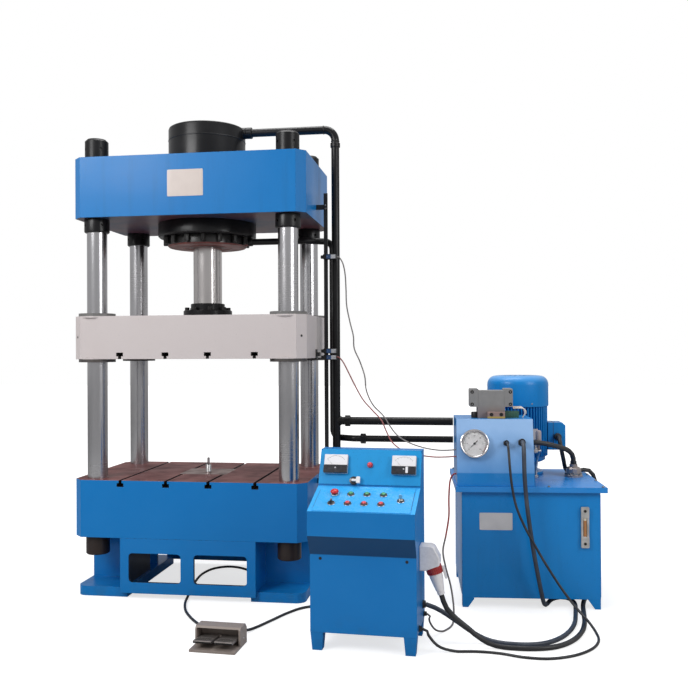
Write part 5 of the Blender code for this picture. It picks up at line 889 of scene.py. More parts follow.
# Oil pipes: two black steel lines with welded bends. The thick one feeds the top of the cylinder,
# the thin one its rod side; both drop beside the press and branch to the valve stand.
def pipe(shape, corners, radius, bend, sides=28, steps=10):
    """A tube through the corners, with a round bend at each one between the ends."""
    corners = [Vector(c) for c in corners]
    line = [corners[0]]
    for a, b, c in zip(corners, corners[1:], corners[2:]):
        come, go = (a - b).normalized(), (c - b).normalized()
        half = come.angle(go) / 2
        if half > 1.55:
            line.append(b)
            continue
        cut = min(bend / math.tan(half), 0.49 * (a - b).length, 0.49 * (c - b).length)
        reach = cut * math.tan(half)
        centre = b + (come + go).normalized() * (reach / math.sin(half))
        start, end = b + come * cut - centre, b + go * cut - centre
        sweep = start.angle(end)
        for step in range(steps + 1):
            t = step / steps
            line.append(centre + (start * math.sin((1 - t) * sweep)
                                  + end * math.sin(t * sweep)) / math.sin(sweep))
    line.append(corners[-1])
    ring_before = None
    side = None
    for i, point in enumerate(line):
        ahead = (line[min(i + 1, len(line) - 1)] - line[max(i - 1, 0)]).normalized()
        side = side - ahead * side.dot(ahead) if side else ahead.orthogonal()
        side.normalize()
        other = ahead.cross(side)
        ring = [shape.verts.new(point + radius * (side * math.cos(math.tau * k / sides)
                                                  + other * math.sin(math.tau * k / sides)))
                for k in range(sides)]
        if ring_before:
            for k in range(sides):
                shape.faces.new((ring_before[k], ring_before[(k + 1) % sides],
                                 ring[(k + 1) % sides], ring[k]))
        else:
            shape.faces.new(ring[::-1])
        ring_before = ring
    shape.faces.new(ring_before)


def collar(shape, place, radius, length, turn=None):
    turned(shape, [(0, 0), (radius - 0.002, 0), (radius, 0.002), (radius, length - 0.002),
                   (radius - 0.002, length)], 40, place, turn)


STAND_SIDE = 1.5524
PIPE_X, PIPE_PORT, GLAND_PORT = 0.83, 2.853, 2.16
MAIN_BRANCH, THIN_BRANCH = 1.03, 0.92
main_line = shape_of()
pipe(main_line, [(0.2613, 0, PIPE_PORT), (PIPE_X, 0, PIPE_PORT), (PIPE_X, 0, 0.52),
                 (0.7153, 0, 0.52)], 0.025, 0.07)
pipe(main_line, [(0.835, 0, MAIN_BRANCH), (STAND_SIDE, 0, MAIN_BRANCH)], 0.0245, 0.05)
collar(main_line, (0.2613, 0, PIPE_PORT), 0.0356, 0.034, sideways)
collar(main_line, (PIPE_X, 0, 2.74), 0.0305, 0.028)
for place, turn in (((0.757, 0, PIPE_PORT), sideways), ((PIPE_X, 0, 2.779), None),
                    ((PIPE_X, 0, 0.588), None)):
    turned(main_line, [(0.025, -0.004), (0.027, -0.002), (0.0275, 0), (0.027, 0.002),
                       (0.025, 0.004)], 40, place, turn)
turned(main_line, [(0.0242, 0.0245), (0.03, 0.0245), (0.0285, 0.03), (0.025, 0.0325)], 40,
       (PIPE_X, 0, MAIN_BRANCH), sideways)
extruded(main_line, [around(0.0345, 60 * k) for k in range(6)], 0.055, 0.087,
         (PIPE_X, 0, MAIN_BRANCH), sideways)
made_piece("pressure_line", main_line, machine_black, "black_paint", ("main_pipe",))
thin_line = shape_of()
pipe(thin_line, [
    (0.2703, 0, GLAND_PORT), (0.637, 0, GLAND_PORT), (0.797, 0.078, GLAND_PORT),
    (0.797, 0.078, THIN_BRANCH), (0.937, 0, THIN_BRANCH), (STAND_SIDE, 0, THIN_BRANCH)], 0.02, 0.05)
collar(thin_line, (0.2703, 0, GLAND_PORT), 0.0262, 0.026, sideways)
extruded(thin_line, [around(0.0315, 60 * k) for k in range(6)], 0.982, 1.014, (0, 0, THIN_BRANCH),
         sideways)
made_piece("return_line", thin_line, machine_black, "black_paint", ("return_pipe",))


# Power pack: a welded oil tank on four folded feet under a thick lid, a slightly lighter blue. The
# return filter's head on the lid is left as cast, and a thin plate is riveted to the tank's front.
def flat(x=0.0, y=0.0, z=0.0, tilt=0.0, yaw=0.0):
    """A seat: its place, the turn of what stands there and how far its face leans back."""
    turn = Matrix.Rotation(yaw, 4, "Z") @ Matrix.Rotation(tilt, 4, "X")
    return Matrix.Translation((x, y, z)) @ turn


pack = Matrix.Translation(PRESS) @ flat(1.97, 0.03, yaw=math.radians(3.8))
LID_TOP, TANK_FRONT = 0.6902, -0.347
FILTER = (0.314, 0.049, 0)
PACK_BLUE = (0.003, 0.195, 0.54)
# Its upward faces are painted paler: a painted highlight from the light above.
pack_blue = enamel("pack_blue", PACK_BLUE, (0.02, 0.25, 0.62), (0.008, 0.055, 0.125), 0.24, 0.4,
                   above=(0.17, 0.4, 0.74))
dress("oil_tank", pack_blue)


def lid_finish():
    made, shader, paint, place = finish("lid_enamel_and_filter_casting", ior=1.38)
    soft, worn = edges(paint, 0.003, 0.012, 0.1)
    middle = pack @ Vector(FILTER)
    height = place.axis(2)
    away = paint.node("VectorMath", {"operation": "DISTANCE"}, out=1, i0=place,
                      i1=(middle.x, middle.y, 0.7))
    casting = away.clip(0.105, 0.098) * height.clip(LID_TOP + 0.0001, LID_TOP + 0.0005)
    cloud, chip, peel = sprayed(place, worn, 4.0)
    speck = place.noise(160.0, 2.0).clip(0.66, 0.74)
    # The lid's blue is mixed a little paler than the tank's: painted reflection on its top.
    shade = (cloud * 0.25).blend((0.014, 0.215, 0.6), (0.075, 0.27, 0.62))
    shade = (speck * 0.3 + chip * 0.6).blend(shade, (0.015, 0.06, 0.13))
    shade = casting.blend(shade, cloud.blend((0.52, 0.46, 0.44), (0.36, 0.31, 0.3)))
    wear(paint, shader, shade, peel * 0.06 + cloud * 0.1 + 0.24, peel, 0.00025, soft)
    paint.put(shader.inputs["Metallic"], casting * 0.8)
    return made


dress("tank_lid", lid_finish())
filter_trim = shape_of()
turned(filter_trim, [(0.0454, 0.7045), (0.0535, 0.7045), (0.0535, 0.7125), (0.0454, 0.715)], 6,
       FILTER)
for number in range(3):
    x, y = around(0.0495, 120 * number + 24)
    hex_head(filter_trim, (FILTER[0] + x, FILTER[1] + y, 0.7135), 0.01, 0.006)
made_piece("filter_clamp", filter_trim, steel_fastener, "grey_metal", place=pack, edge=0.0004)
pack_plate = plate_metal("pack_plate", (0.56, 0.55, 0.56), (0.4, 0.4, 0.42))
bare_plate("tank_plate", 0.186, 0.098, pack @ flat(-0.196, TANK_FRONT - 0.0001, 0.4905) @ to_front,
           pack_plate, bright_rivet, "polished_steel", 0.012)

# Lid screws and tank seams: low hexagon screws clamp the lid's rim, and weld beads run along the
# tank's upright corners.
lid_screws = shape_of()
for x in (-0.4, -0.2, 0.1, 0.4):
    for y in (-0.362, 0.362):
        if x > 0.05 or y > 0:
            hex_head(lid_screws, (x, y, LID_TOP), 0.013, 0.008)
for y in (-0.12, 0.12):
    hex_head(lid_screws, (0.411, y, LID_TOP), 0.013, 0.008)
made_piece("lid_screws", lid_screws, steel_fastener, "grey_metal", place=pack, edge=0.0004)
beads = shape_of()
for x in (-0.3872, 0.3872):
    for y in (-0.3467, 0.3467):
        pipe(beads, [(x, y, 0.07 + 0.0145 * step + 0.0006 * math.sin(3.1 * step))
                     for step in range(41)], 0.002, 0.001, 8, 2)
made_piece("tank_seams", beads, pack_blue, "blue_paint", place=pack)

# Level gauge: a bright die-cast frame with two hollow bolts and an amber window on the oil; a
# float line shows how full the tank is.
level_case = shape_of()
for low, high in ((0.3483, 0.4125), (0.5155, 0.5797)):
    extruded(level_case, rounded_box(0.046, high - low, 0.007, 5, (0.3, (low + high) / 2)), 0.0003,
             0.016)
for x in (0.2835, 0.3165):
    block(level_case, (x - 0.006, 0.41, 0.0003), (x + 0.006, 0.518, 0.0125))
case_metal = milled("gauge_casting", (0.62, 0.61, 0.6), (0.42, 0.41, 0.4), 0.3, 3.0)
level_front = pack @ flat(0, TANK_FRONT) @ to_front
made_piece("level_frame", level_case, case_metal, "grey_metal", ("level_gauge",), place=level_front,
           edge=0.0008)


def window_oil():
    made, shader, paint, place = finish("amber_window", coat=0.8, ior=1.47)
    height = place.axis(2)
    full = height.clip(0.504, 0.502)
    lines = paint.node("Math", {"operation": "FRACT"}, i0=height * 100.0).clip(0.12, 0.06)
    cloud = place.noise(60.0, 3.0)
    shade = full.blend((0.62, 0.56, 0.44), (0.36, 0.15, 0.04))
    shade = (lines * 0.5).blend(shade, (0.1, 0.05, 0.03))
    wear(paint, shader, shade, cloud * 0.1 + 0.06, cloud, 0.0001)
    return made


window = shape_of()
turned(window, [(0, 0.4105), (0.0094, 0.4105), (0.0094, 0.5175)], 28)
made_piece("level_window", window, window_oil(), "bronze",
           place=pack @ flat(0.3, TANK_FRONT - 0.0078) @ Matrix.Diagonal((1, 0.75, 1, 1)))
level_bolts = shape_of()
for height in (0.372, 0.556):
    turned(level_bolts, [(0, 0.0172), (0.004, 0.0172), (0.0048, 0.0178), (0.0085, 0.0178),
                         (0.0092, 0.0168), (0.0092, 0.0155)], 6, (0.3, height, 0))
made_piece("level_bolts", level_bolts, blackened_screw, "black_paint", place=level_front)

# Valve stand: a folded steel box that carries the valve and the gauge. Its leaning face is painted
# paler as painted light, and the two wires leave it through black cable glands.
stand_face = pack @ flat(0, -0.353, 0.77, tilt=math.atan2(0.299, 0.06))


def off_seat(place, seat, number):
    """How far a place is from a seat, along one of the seat's own axes."""
    way = seat.to_3x3().col[number]
    return place.dot(way) - seat.translation.dot(way)


def stand_finish():
    made, shader, paint, place = finish("stand_enamel_and_glands", coat=0.1, ior=1.38,
                                        coat_roughness=0.1)
    soft, worn = edges(paint, 0.003, 0.012, 0.1)
    out_of_face = off_seat(place, stand_face, 2)
    gland = (out_of_face.clip(0.0004, 0.0008) * off_seat(place, pack, 0).clip(-0.2, -0.19)
             * place.axis(2).clip(0.88, 0.9))
    cloud, chip, peel = sprayed(place, worn, 3.0)
    height = place.axis(2).clip(0.772, 1.05)
    leaning = out_of_face.clip(-0.0012, -0.0008)
    # The leaning face is painted paler, the more so higher up: painted light, with faded clouds.
    faded = height * 0.75 * leaning + cloud * 0.15 + leaning * 0.3
    shade = faded.blend(PACK_BLUE, (0.295, 0.485, 0.78))
    shade = (chip * 0.6).blend(shade, (0.015, 0.06, 0.13))
    shade = gland.blend(shade, (0.012, 0.012, 0.014))
    wear(paint, shader, shade, peel * 0.06 + cloud * 0.1 + gland * 0.15 + 0.22, peel, 0.00025, soft)
    return made


dress("valve_stand", stand_finish())
gland_ribs = shape_of()
for (x, up), radius in (((-0.134, 0.166), 0.014), ((-0.046, 0.17), 0.019)):
    for ring in range(4):
        turned(gland_ribs, [
            (radius - 0.0004, 0.0155 + 0.004 * ring), (radius + 0.001, 0.0165 + 0.004 * ring),
            (radius + 0.001, 0.0178 + 0.004 * ring), (radius - 0.0004, 0.0188 + 0.004 * ring)], 28,
               (x, up, 0))
made_piece("gland_ribs", gland_ribs, rubber("gland_rubber", (0.012, 0.012, 0.014),
                                            (0.05, 0.05, 0.05)), "black_plastic", place=stand_face)

# Pressure gauge: chrome bezel and case, white dial in graduations of ten with a red limit, domed
# glass over it, and a slim black pointer that swings over the dial.
gauge = stand_face @ flat(-0.314, 0.161, 0)
chrome = polished("gauge_chrome", (0.7, 0.68, 0.69), 0.1)
case_ring = shape_of()
turned(case_ring, [
    (0.069, 0.0003), (0.07, 0.0003), (0.07, 0.017), (0.079, 0.018), (0.082, 0.02), (0.0825, 0.023),
    (0.0825, 0.031), (0.0812, 0.0346), (0.0785, 0.036), (0.075, 0.0356), (0.0715, 0.033),
    (0.07, 0.03), (0.069, 0.024)], 96)
turned(case_ring, [(0, 0.0003), (0.069, 0.0003), (0.069, 0.01)], 96)
made_piece("gauge_case", case_ring, chrome, "polished_steel", ("pressure_gauge",), place=gauge)


def dial_finish():
    made, shader, paint, place = finish("printed_dial", coat=0.3)
    cloud = place.noise(20.0, 4.0).clip(0.4, 0.7)
    fine = place.noise(500.0, 1.0)
    shade = (cloud * 0.3).blend((0.8, 0.79, 0.8), (0.72, 0.7, 0.7))
    wear(paint, shader, shade, fine * 0.08 + 0.3, fine, 0.00004)
    return made


dial = shape_of()
turned(dial, [(0.0062, 0.01), (0.0685, 0.01), (0.0685, 0.0232), (0.068, 0.0238), (0.0064, 0.0238),
              (0.0062, 0.0234)], 96)
made_piece("gauge_dial", dial, dial_finish(), "white_plastic", place=gauge)


def arc(shape, inner, outer, start, pitch, count, print_heights, centre=0.0):
    """A printed arc: short straight steps, from the starting angle clockwise."""
    for angle in (start - pitch * step for step in range(count)):
        corners = [around(inner, angle), around(outer, angle), around(outer, angle - pitch),
                   around(inner, angle - pitch)]
        extruded(shape, [(x, y + centre) for x, y in corners], *print_heights)


DIAL_START, DIAL_SWING = 225, 270
DIAL_PRINT = (0.02385, 0.024)
ink = rubber("printing_ink", (0.03, 0.03, 0.034), (0.06, 0.06, 0.06), 900)
marks = shape_of()
for step in range(61):
    angle = DIAL_START - DIAL_SWING * step / 60
    long = step % 10 == 0
    inner, outer, wide = (0.0545 if long else 0.058 if step % 5 == 0
                          else 0.0605), 0.064, 0.0007 if long else 0.0004
    extruded(marks, [(inner, -wide), (outer, -wide), (outer, wide), (inner, wide)], *DIAL_PRINT,
             turn=spun(angle))
arc(marks, 0.064, 0.0644, DIAL_START, 5, 54, DIAL_PRINT)
made_piece("dial_marks", marks, ink, "black_plastic", place=gauge)
red_ink = rubber("red_ink", (0.45, 0.02, 0.02), (0.4, 0.06, 0.05), 900)
limit = shape_of()
arc(limit, 0.065, 0.0664, -9, 4.5, 8, DIAL_PRINT)
made_piece("dial_limit", limit, red_ink, "red_plastic", place=gauge)
for number in range(7):
    words = bpy.data.curves.new("figure", "FONT")
    words.body = str(number * 10)
    words.size = 0.0115
    words.extrude = 0.0001
    words.resolution_u = 3
    words.align_x = words.align_y = "CENTER"
    drawn = bpy.data.objects.new("figure", words)
    bpy.context.collection.objects.link(drawn)
    bpy.context.view_layer.update()
    figure = bpy.data.objects.new("dial_figure_" + str(number),
                                  bpy.data.meshes.new_from_object(drawn))
    bpy.data.objects.remove(drawn)
    bpy.context.collection.objects.link(figure)
    figure.data.materials.clear()
    figure.data.materials.append(ink)
    figure.matrix_world = gauge @ flat(*around(0.0455, DIAL_START - 45 * number), 0.0239)
    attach(figure, "machine")
glass, glass_shader, paint, place = finish("gauge_glass", ior=1.1)
glass_shader.inputs["Transmission Weight"].default_value = 1.0
paint.put(glass_shader.inputs["Roughness"], paint.node("TexNoise", Scale=40.0) * 0.04)
pane = shape_of()
turned(pane, [(0, 0.0325), (0.035, 0.0322), (0.069, 0.0312), (0.069, 0.0318), (0.035, 0.033),
              (0, 0.0334)], 72)
made_piece("gauge_pane", pane, glass, "white_plastic", place=gauge)
pointer = shape_of()
blade = [(-0.023, -0.0026), (-0.01, -0.0012), (0.025, -0.001), (0.052, -0.0003), (0.052, 0.0003),
         (0.025, 0.001), (-0.01, 0.0012), (-0.023, 0.0026)]
extruded(pointer, blade, 0.0262, 0.027)
turned(pointer, [(0, 0.0185), (0.0056, 0.0185), (0.0056, 0.025), (0.0072, 0.0252), (0.0072, 0.028),
                 (0.006, 0.0289)], 32)
made_piece("gauge_pointer", pointer, ink, "black_plastic", ("gauge_needle",), "gauge_needle",
           gauge @ spun(DIAL_START), 0.0001)

# Directional valve: a grey cast spool valve on its foot, with a solenoid at each end and black
# socket screws in its corners. Its lower part is warmer, a plain primer over the casting.
def casting(name, colour, warm, split=None, gloss=0.42):
    """Sand-cast metal: coarse grain, cloudy tone and, under a height, a warmer primer."""
    made, shader, paint, place = finish(name)
    soft, worn = edges(paint, 0.0016, 0.02, 0.16)
    grain = place.noise(210.0, 4.0)
    cloud = place.noise(26.0, 5.0).clip(0.35, 0.7)
    shade = (cloud * 0.4).blend(colour, tuple(0.78 * part for part in colour))
    if split:
        shade = place.axis(2).clip(split[1], split[0]).blend(shade, warm)
    shade = (worn * 0.35).blend(shade, (0.42, 0.4, 0.38))
    wear(paint, shader, shade, grain * 0.18 + cloud * 0.1 + gloss, grain, 0.0006, soft)
    return made


valve_grey = casting("valve_casting", (0.225, 0.222, 0.222), (0.195, 0.155, 0.15), (1.095, 1.15))
valve_at = pack @ flat(-0.207, -0.175, 0)
valve = shape_of()
extruded(valve, [(-0.079, 1.0694), (0.079, 1.0694), (0.079, 1.136), (0.074, 1.142), (0.074, 1.226),
                 (0.071, 1.23), (-0.071, 1.23), (-0.074, 1.226), (-0.074, 1.142), (-0.079, 1.136)],
         -0.0548, 0.0548, turn=to_front)
for side in (-1, 1):
    low_x, high_x = sorted((side * 0.0738, side * 0.1248))
    middle_x = (low_x + high_x) / 2
    extruded(valve, rounded_box(0.051, 0.106, 0.006, 4, (middle_x, 1.1875)), -0.053, 0.053,
             turn=to_front)
    extruded(valve, rounded_box(0.045, 0.02, 0.004, 3, (middle_x, 1.229)), -0.03, 0.03,
             turn=to_front)
made_piece("valve_body", valve, valve_grey, "grey_metal", ("directional_valve",), place=valve_at,
           edge=0.0012)
valve_parts = shape_of()
for side in (-1, 1):
    for height in (1.15, 1.222):
        turned(valve_parts, [
            (0.004, 0.0525), (0.004, 0.0542), (0.0092, 0.0545), (0.0102, 0.0535), (0.0102, 0.05),
            (0, 0.05), (0, 0.0525)], 20, (side * 0.1105, 0, height), to_front)
for side in (-1, 1):
    turned(valve_parts, [(0, 0.1245), (0.012, 0.1245), (0.013, 0.1235), (0.013, 0.118)], 28,
           (0, 0, 1.19), spun(90 * side, "Y"))
turned(valve_parts, [(0, 1.0694), (0.0235, 1.0694), (0.0235, 1.099), (0.021, 1.103), (0, 1.1032)],
       36, (-0.091, -0.01, 0))
made_piece("valve_screws", valve_parts, blackened_screw, "black_paint", place=valve_at)

# Relief valve: a small machined block against the valve's foot, primer above, raw bronze below,
# with two dark screws. Behind it a green terminal block takes the pale solenoid wires.
relief_metal = casting("relief_bronze", (0.27, 0.18, 0.16), (0.4, 0.27, 0.065), (1.0812, 1.0816),
                       0.34)
relief = shape_of()
block(relief, (-0.232, -0.27, 1.0694), (-0.132, -0.2306, 1.1072))
made_piece("relief_block", relief, relief_metal, "bronze", ("relief_valve",), place=pack,
           edge=0.0016)
relief_screws = shape_of()
for x in (-0.21, -0.154):
    turned(relief_screws, [(0.0042, 0.27), (0.0042, 0.2722), (0.0095, 0.2724), (0.0108, 0.2714),
                           (0.0108, 0.269), (0, 0.269), (0, 0.27)], 24, (x, 0, 1.093), to_front)
made_piece("relief_screws", relief_screws, blackened_screw, "black_paint", place=pack)
terminal_green = rubber("terminal_green", (0.03, 0.1, 0.06), (0.08, 0.15, 0.11), 200)
terminals = shape_of()
block(terminals, (-0.127, -0.205, 1.0693), (-0.045, -0.15, 1.108))
for slot_x in range(5):
    block(terminals, (-0.1235 + 0.0155 * slot_x, -0.2068, 1.076),
          (-0.1125 + 0.0155 * slot_x, -0.205, 1.099))
made_piece("valve_terminals", terminals, terminal_green, "green_plastic", place=pack, edge=0.0008)
pale_wire = rubber("pale_wire", (0.74, 0.66, 0.6), (0.55, 0.45, 0.38), 400)
wires = shape_of()
for number, reach in enumerate((0.0, 0.012, 0.024)):
    pipe(wires, [(-0.078, -0.178 - 0.006 * number, 1.132 - 0.004 * number),
                 (-0.025 + reach * 0.4, -0.182 - 0.006 * number, 1.133 - 0.004 * number),
                 (-0.006 + reach * 0.3, -0.19 - 0.004 * number, 1.1),
                 (-0.02, -0.18 + 0.008 * number, 1.0692)], 0.0032, 0.024, 10, 6)
made_piece("solenoid_wires", wires, pale_wire, "white_plastic", place=pack)

# Motor: an upright electric motor on the lid, its housing cast with cooling fins and its terminal
# box on the right, with a black gasket under the box's cover. All of it is sprayed with the tank.
motor = pack @ flat(0, 0.212, 0)
casing = shape_of()
FINS, FIN = 56, ((-0.3, 0.164), (-0.17, 0.1825), (-0.1, 0.183), (0.1, 0.183), (0.17, 0.1825),
                 (0.3, 0.164))
outline = []
for fin in range(FINS):
    outline += [around(radius, (fin + offset) * 360 / FINS) for offset, radius in FIN]
extruded(casing, outline, 0.805, 1.1138)
turned(casing, [
    (0.0195, 0.6905), (0.153, 0.6905), (0.155, 0.6925), (0.155, 0.706), (0.153, 0.7083),
    (0.124, 0.7115), (0.118, 0.718), (0.113, 0.74), (0.113, 0.752), (0.118, 0.76), (0.15, 0.77),
    (0.166, 0.779), (0.168, 0.782), (0.168, 0.8055), (0.0195, 0.8055)], 96)
box_side = [(0.176, 0.842), (0.275, 0.842), (0.285, 0.852), (0.285, 0.993), (0.265, 1.013),
            (0.176, 1.013)]
extruded(casing, box_side, -0.063, 0.067, turn=to_front)
block(casing, (0.14, -0.047, 0.872), (0.18, 0.043, 0.983))
turned(casing, [(0, 0.06), (0.021, 0.06), (0.021, 0.096), (0.019, 0.0985)], 32, (0.2345, 0, 0.925),
       to_front)
made_piece("motor_casing", casing, pack_blue, "blue_paint", ("motor_housing",), place=motor,
           edge=0.002)
motor_trim = shape_of()
for angle in (45, 135, 225, 315):
    hex_head(motor_trim, (*around(0.137, angle), 0.7085), 0.019, 0.011)
made_piece("motor_bolts", motor_trim, steel_fastener, "grey_metal", place=motor, edge=0.0005)
cover_screws = shape_of()
for y in (0.16, 0.26):
    for z in (0.858, 0.996):
        cap_screw(cover_screws, (0.2848, y, z), 0.0045, 0.0004, sideways)
made_piece("cover_screws", cover_screws, steel_fastener, "grey_metal", place=pack)
gasket = shape_of()
for (y0, z0), (y1, z1) in (((0.1446, 0.8416), (0.2754, 0.842)), ((0.1446, 1.013), (0.2754, 1.0138)),
                           ((0.1446, 0.8418), (0.145, 1.0134)),
                           ((0.275, 0.8418), (0.2754, 1.0134))):
    block(gasket, (0.208, y0, z0), (0.211, y1, z1))
black_rubber = rubber("black_rubber", (0.012, 0.012, 0.014), (0.055, 0.052, 0.05))
made_piece("terminal_gasket", gasket, black_rubber, "black_plastic", place=pack)
box_gland = shape_of()
turned(box_gland, [(0.0085, 0.1452), (0.0225, 0.1452), (0.0225, 0.129), (0.0216, 0.128),
                   (0.0216, 0.1135), (0.018, 0.111), (0.012, 0.1105), (0.0085, 0.1115)], 36)
made_piece("motor_gland", box_gland, black_rubber, "black_plastic",
           place=pack @ flat(0.2345, 0, 0.925) @ spun(-90, "X"))
motor_plate = plate_metal("motor_plate", (0.5, 0.46, 0.46), (0.38, 0.34, 0.34))
plate_sheet = shape_of()
plate_turn = spun(26.5) @ to_front
extruded(plate_sheet, rounded_box(0.044, 0.066, 0.004), 0.0, 0.0012)
made_piece("motor_bare_plate", plate_sheet, motor_plate, "grey_metal",
           place=motor @ flat(0.0822, -0.1645, 0.948) @ plate_turn)

# Fan and cowl: a pressed blue cowl with ten slots in its top covers the fan, which turns with
# the bright motor shaft. Four screws hold the cowl's rim.
cowl = shape_of()
turned(cowl, [
    (0.1645, 1.1143), (0.1865, 1.1143), (0.1895, 1.116), (0.19, 1.119), (0.19, 1.248),
    (0.1885, 1.262), (0.184, 1.275), (0.176, 1.287), (0.165, 1.296), (0.152, 1.302),
    (0.135, 1.3048), (0, 1.305), (0, 1.301), (0.132, 1.3008), (0.15, 1.298), (0.1625, 1.2925),
    (0.1725, 1.284), (0.18, 1.273), (0.1845, 1.261), (0.186, 1.248), (0.186, 1.124),
    (0.1645, 1.124)], 128)
pressed_cowl = made_piece("pressed_cowl", cowl, pack_blue, "blue_paint", ("fan_cowl",), place=motor)
grille = shape_of()
for number in range(10):
    extruded(grille, rounded_box(0.08, 0.014, 0.0065, 5, (0.078, 0)), 1.29, 1.32,
             turn=spun(360 * number / 10))
drilled(pressed_cowl, grille)
dress("motor_shaft", polished("shaft_steel", (0.5, 0.49, 0.48), 0.25))
dress("oil_pump", casting("pump_casting", (0.2, 0.2, 0.2), (0.2, 0.2, 0.2)))
cowl_screws = shape_of()
for angle in (-70, 20, 110, 200):
    turned(cowl_screws, [(0, 0.0018), (0.003, 0.0016), (0.0052, 0.0004), (0.0052, -0.001)], 20,
           (*around(0.1898, angle), 1.135), spun(angle) @ sideways)
made_piece("cowl_screws", cowl_screws, steel_fastener, "grey_metal", place=motor)

# Return hose: a thick black rubber hose from the stand's right side to the filter's head, with a
# blackened collar crimped on it at the stand. In front of the motor's foot a small steel line with
# a ball valve and a damper runs from the stand down to the lid.
dress("return_hose", black_rubber)
crimp = shape_of()
turned(crimp, [(0.0153, 0.0), (0.0205, 0.0), (0.0215, 0.0015), (0.0215, 0.006), (0.018, 0.008),
               (0.018, 0.02), (0.0165, 0.0225), (0.0153, 0.0225)], 40)
made_piece("hose_collar", crimp, blackened_screw, "black_paint",
           place=pack @ flat(0.0225, -0.1, 0.915) @ sideways)
valve_line = shape_of()
steel_line = milled("fitting_steel", (0.66, 0.63, 0.61), (0.44, 0.4, 0.38), 0.24, 6.0)
pipe(valve_line, [(0.0222, -0.085, 0.862), (0.076, -0.085, 0.862), (0.096, -0.085, 0.862),
                  (0.096, -0.04, 0.862)], 0.008, 0.014, 16, 6)
turned(valve_line, [(0, 0.03), (0.015, 0.03), (0.017, 0.036), (0.017, 0.05), (0.015, 0.056)], 6,
       (0.0222, -0.085, 0.862), sideways)
turned(valve_line, [(0, 0), (0.013, 0), (0.013, 0.01), (0.008, 0.013), (0.008, 0.022)], 28,
       (0.065, -0.085, 0.872))
pipe(valve_line, [(0.096, -0.06, 0.862), (0.088, -0.04, 0.83), (0.082, -0.03, 0.795),
                  (0.078, -0.02, 0.735), (0.078, -0.02, 0.6906)], 0.0075, 0.02, 16, 6)
turned(valve_line, [(0, 0), (0.015, 0), (0.015, 0.014), (0.011, 0.018)], 6, (0.078, -0.02, 0.6904))
made_piece("gauge_line", valve_line, steel_line, "polished_steel", place=pack, edge=0.0006)
handle = shape_of()
extruded(handle, [(-0.006, -0.005), (0.04, -0.004), (0.046, 0), (0.04, 0.004), (-0.006, 0.005)],
         0.0, 0.0022, (0.065, -0.085, 0.894), spun(20) @ spun(-8, "Y"))
made_piece("ball_valve_handle", handle, steel_line, "polished_steel", place=pack, edge=0.0005)
sample_bottle = shape_of()
turned(sample_bottle, [(0, 0.9), (0.015, 0.9), (0.017, 0.903), (0.017, 0.972), (0.014, 0.98),
                       (0.009, 0.983)], 32, (0.088, -0.06, 0))
turned(sample_bottle, [(0, 0.86), (0.0085, 0.86), (0.0085, 0.901)], 20, (0.088, -0.06, 0))
made_piece("line_damper", sample_bottle, casting("damper_grey", (0.4, 0.345, 0.345),
                                                 (0.3, 0.3, 0.3)), "grey_metal", place=pack,
           edge=0.0008)


# Console: a folded sheet cabinet on two plinth strips with an overhanging desk. Seams show where
# the desk's sheet is let in, and quarter-turn fasteners hold the front panel.
CONSOLE_YAW, CONSOLE_SIDE = math.radians(-3.0), 0.2625
console = Matrix.Translation(PRESS) @ flat(1.134, -1.15, yaw=CONSOLE_YAW)
desk_seat = console @ flat(0, -0.06, 0.692, tilt=math.atan2(0.085, 0.25))
panel_seat = console @ flat(0, 0.19, 0.777, tilt=math.atan2(0.178, 0.08))
CONSOLE_BLUE = (0.002, 0.165, 0.48)
panel_blue = enamel("panel_blue", (0.01, 0.28, 0.63), (0.025, 0.31, 0.67), (0.008, 0.055, 0.125),
                    0.28, 0.35)


def cabinet_finish():
    made, shader, paint, place = finish("cabinet_enamel_and_glands", coat=0.08, ior=1.32,
                                        coat_roughness=0.12)
    soft, worn = edges(paint, 0.0025, 0.012, 0.1)
    side = off_seat(place, console, 0) - CONSOLE_SIDE
    gland = side.clip(0.0006, 0.001)
    height = place.axis(2)
    cloud, chip, peel = sprayed(place, worn, 3.0)
    splash = height.clip(0.2, 0.0) * place.noise(14.0, 6.0).clip(0.46, 0.62)
    shade = (cloud * 0.22).blend(CONSOLE_BLUE, (0.012, 0.215, 0.56))
    shade = (chip * 0.6 + splash * 0.25).blend(shade, (0.022, 0.065, 0.12))
    # Below the desk's lip, inside the cabinet's front, the paint is made darker: painted shade.
    recess_painted_shade = height.clip(0.47, 0.474) * height.clip(0.5735, 0.5715) * side.clip(-0.0004, -0.0008)
    shade = (recess_painted_shade * 0.8).blend(shade, (0.001, 0.024, 0.075))
    # Faces that lie in the desk's slope are painted paler: painted light from above.
    sloping_painted_light = paint.normal().dot(desk_seat.to_3x3().col[2]).clip(0.985, 0.995)
    shade = (sloping_painted_light * (1 - cloud * 0.1)).blend(shade, (0.04, 0.39, 0.83))
    shade = gland.blend(shade, (0.012, 0.012, 0.014))
    wear(paint, shader, shade, peel * 0.06 + cloud * 0.1 + splash * 0.1 + 0.27, peel, 0.00025, soft)
    return made


dress("console_cabinet", cabinet_finish())
dress("console_panel", panel_blue)


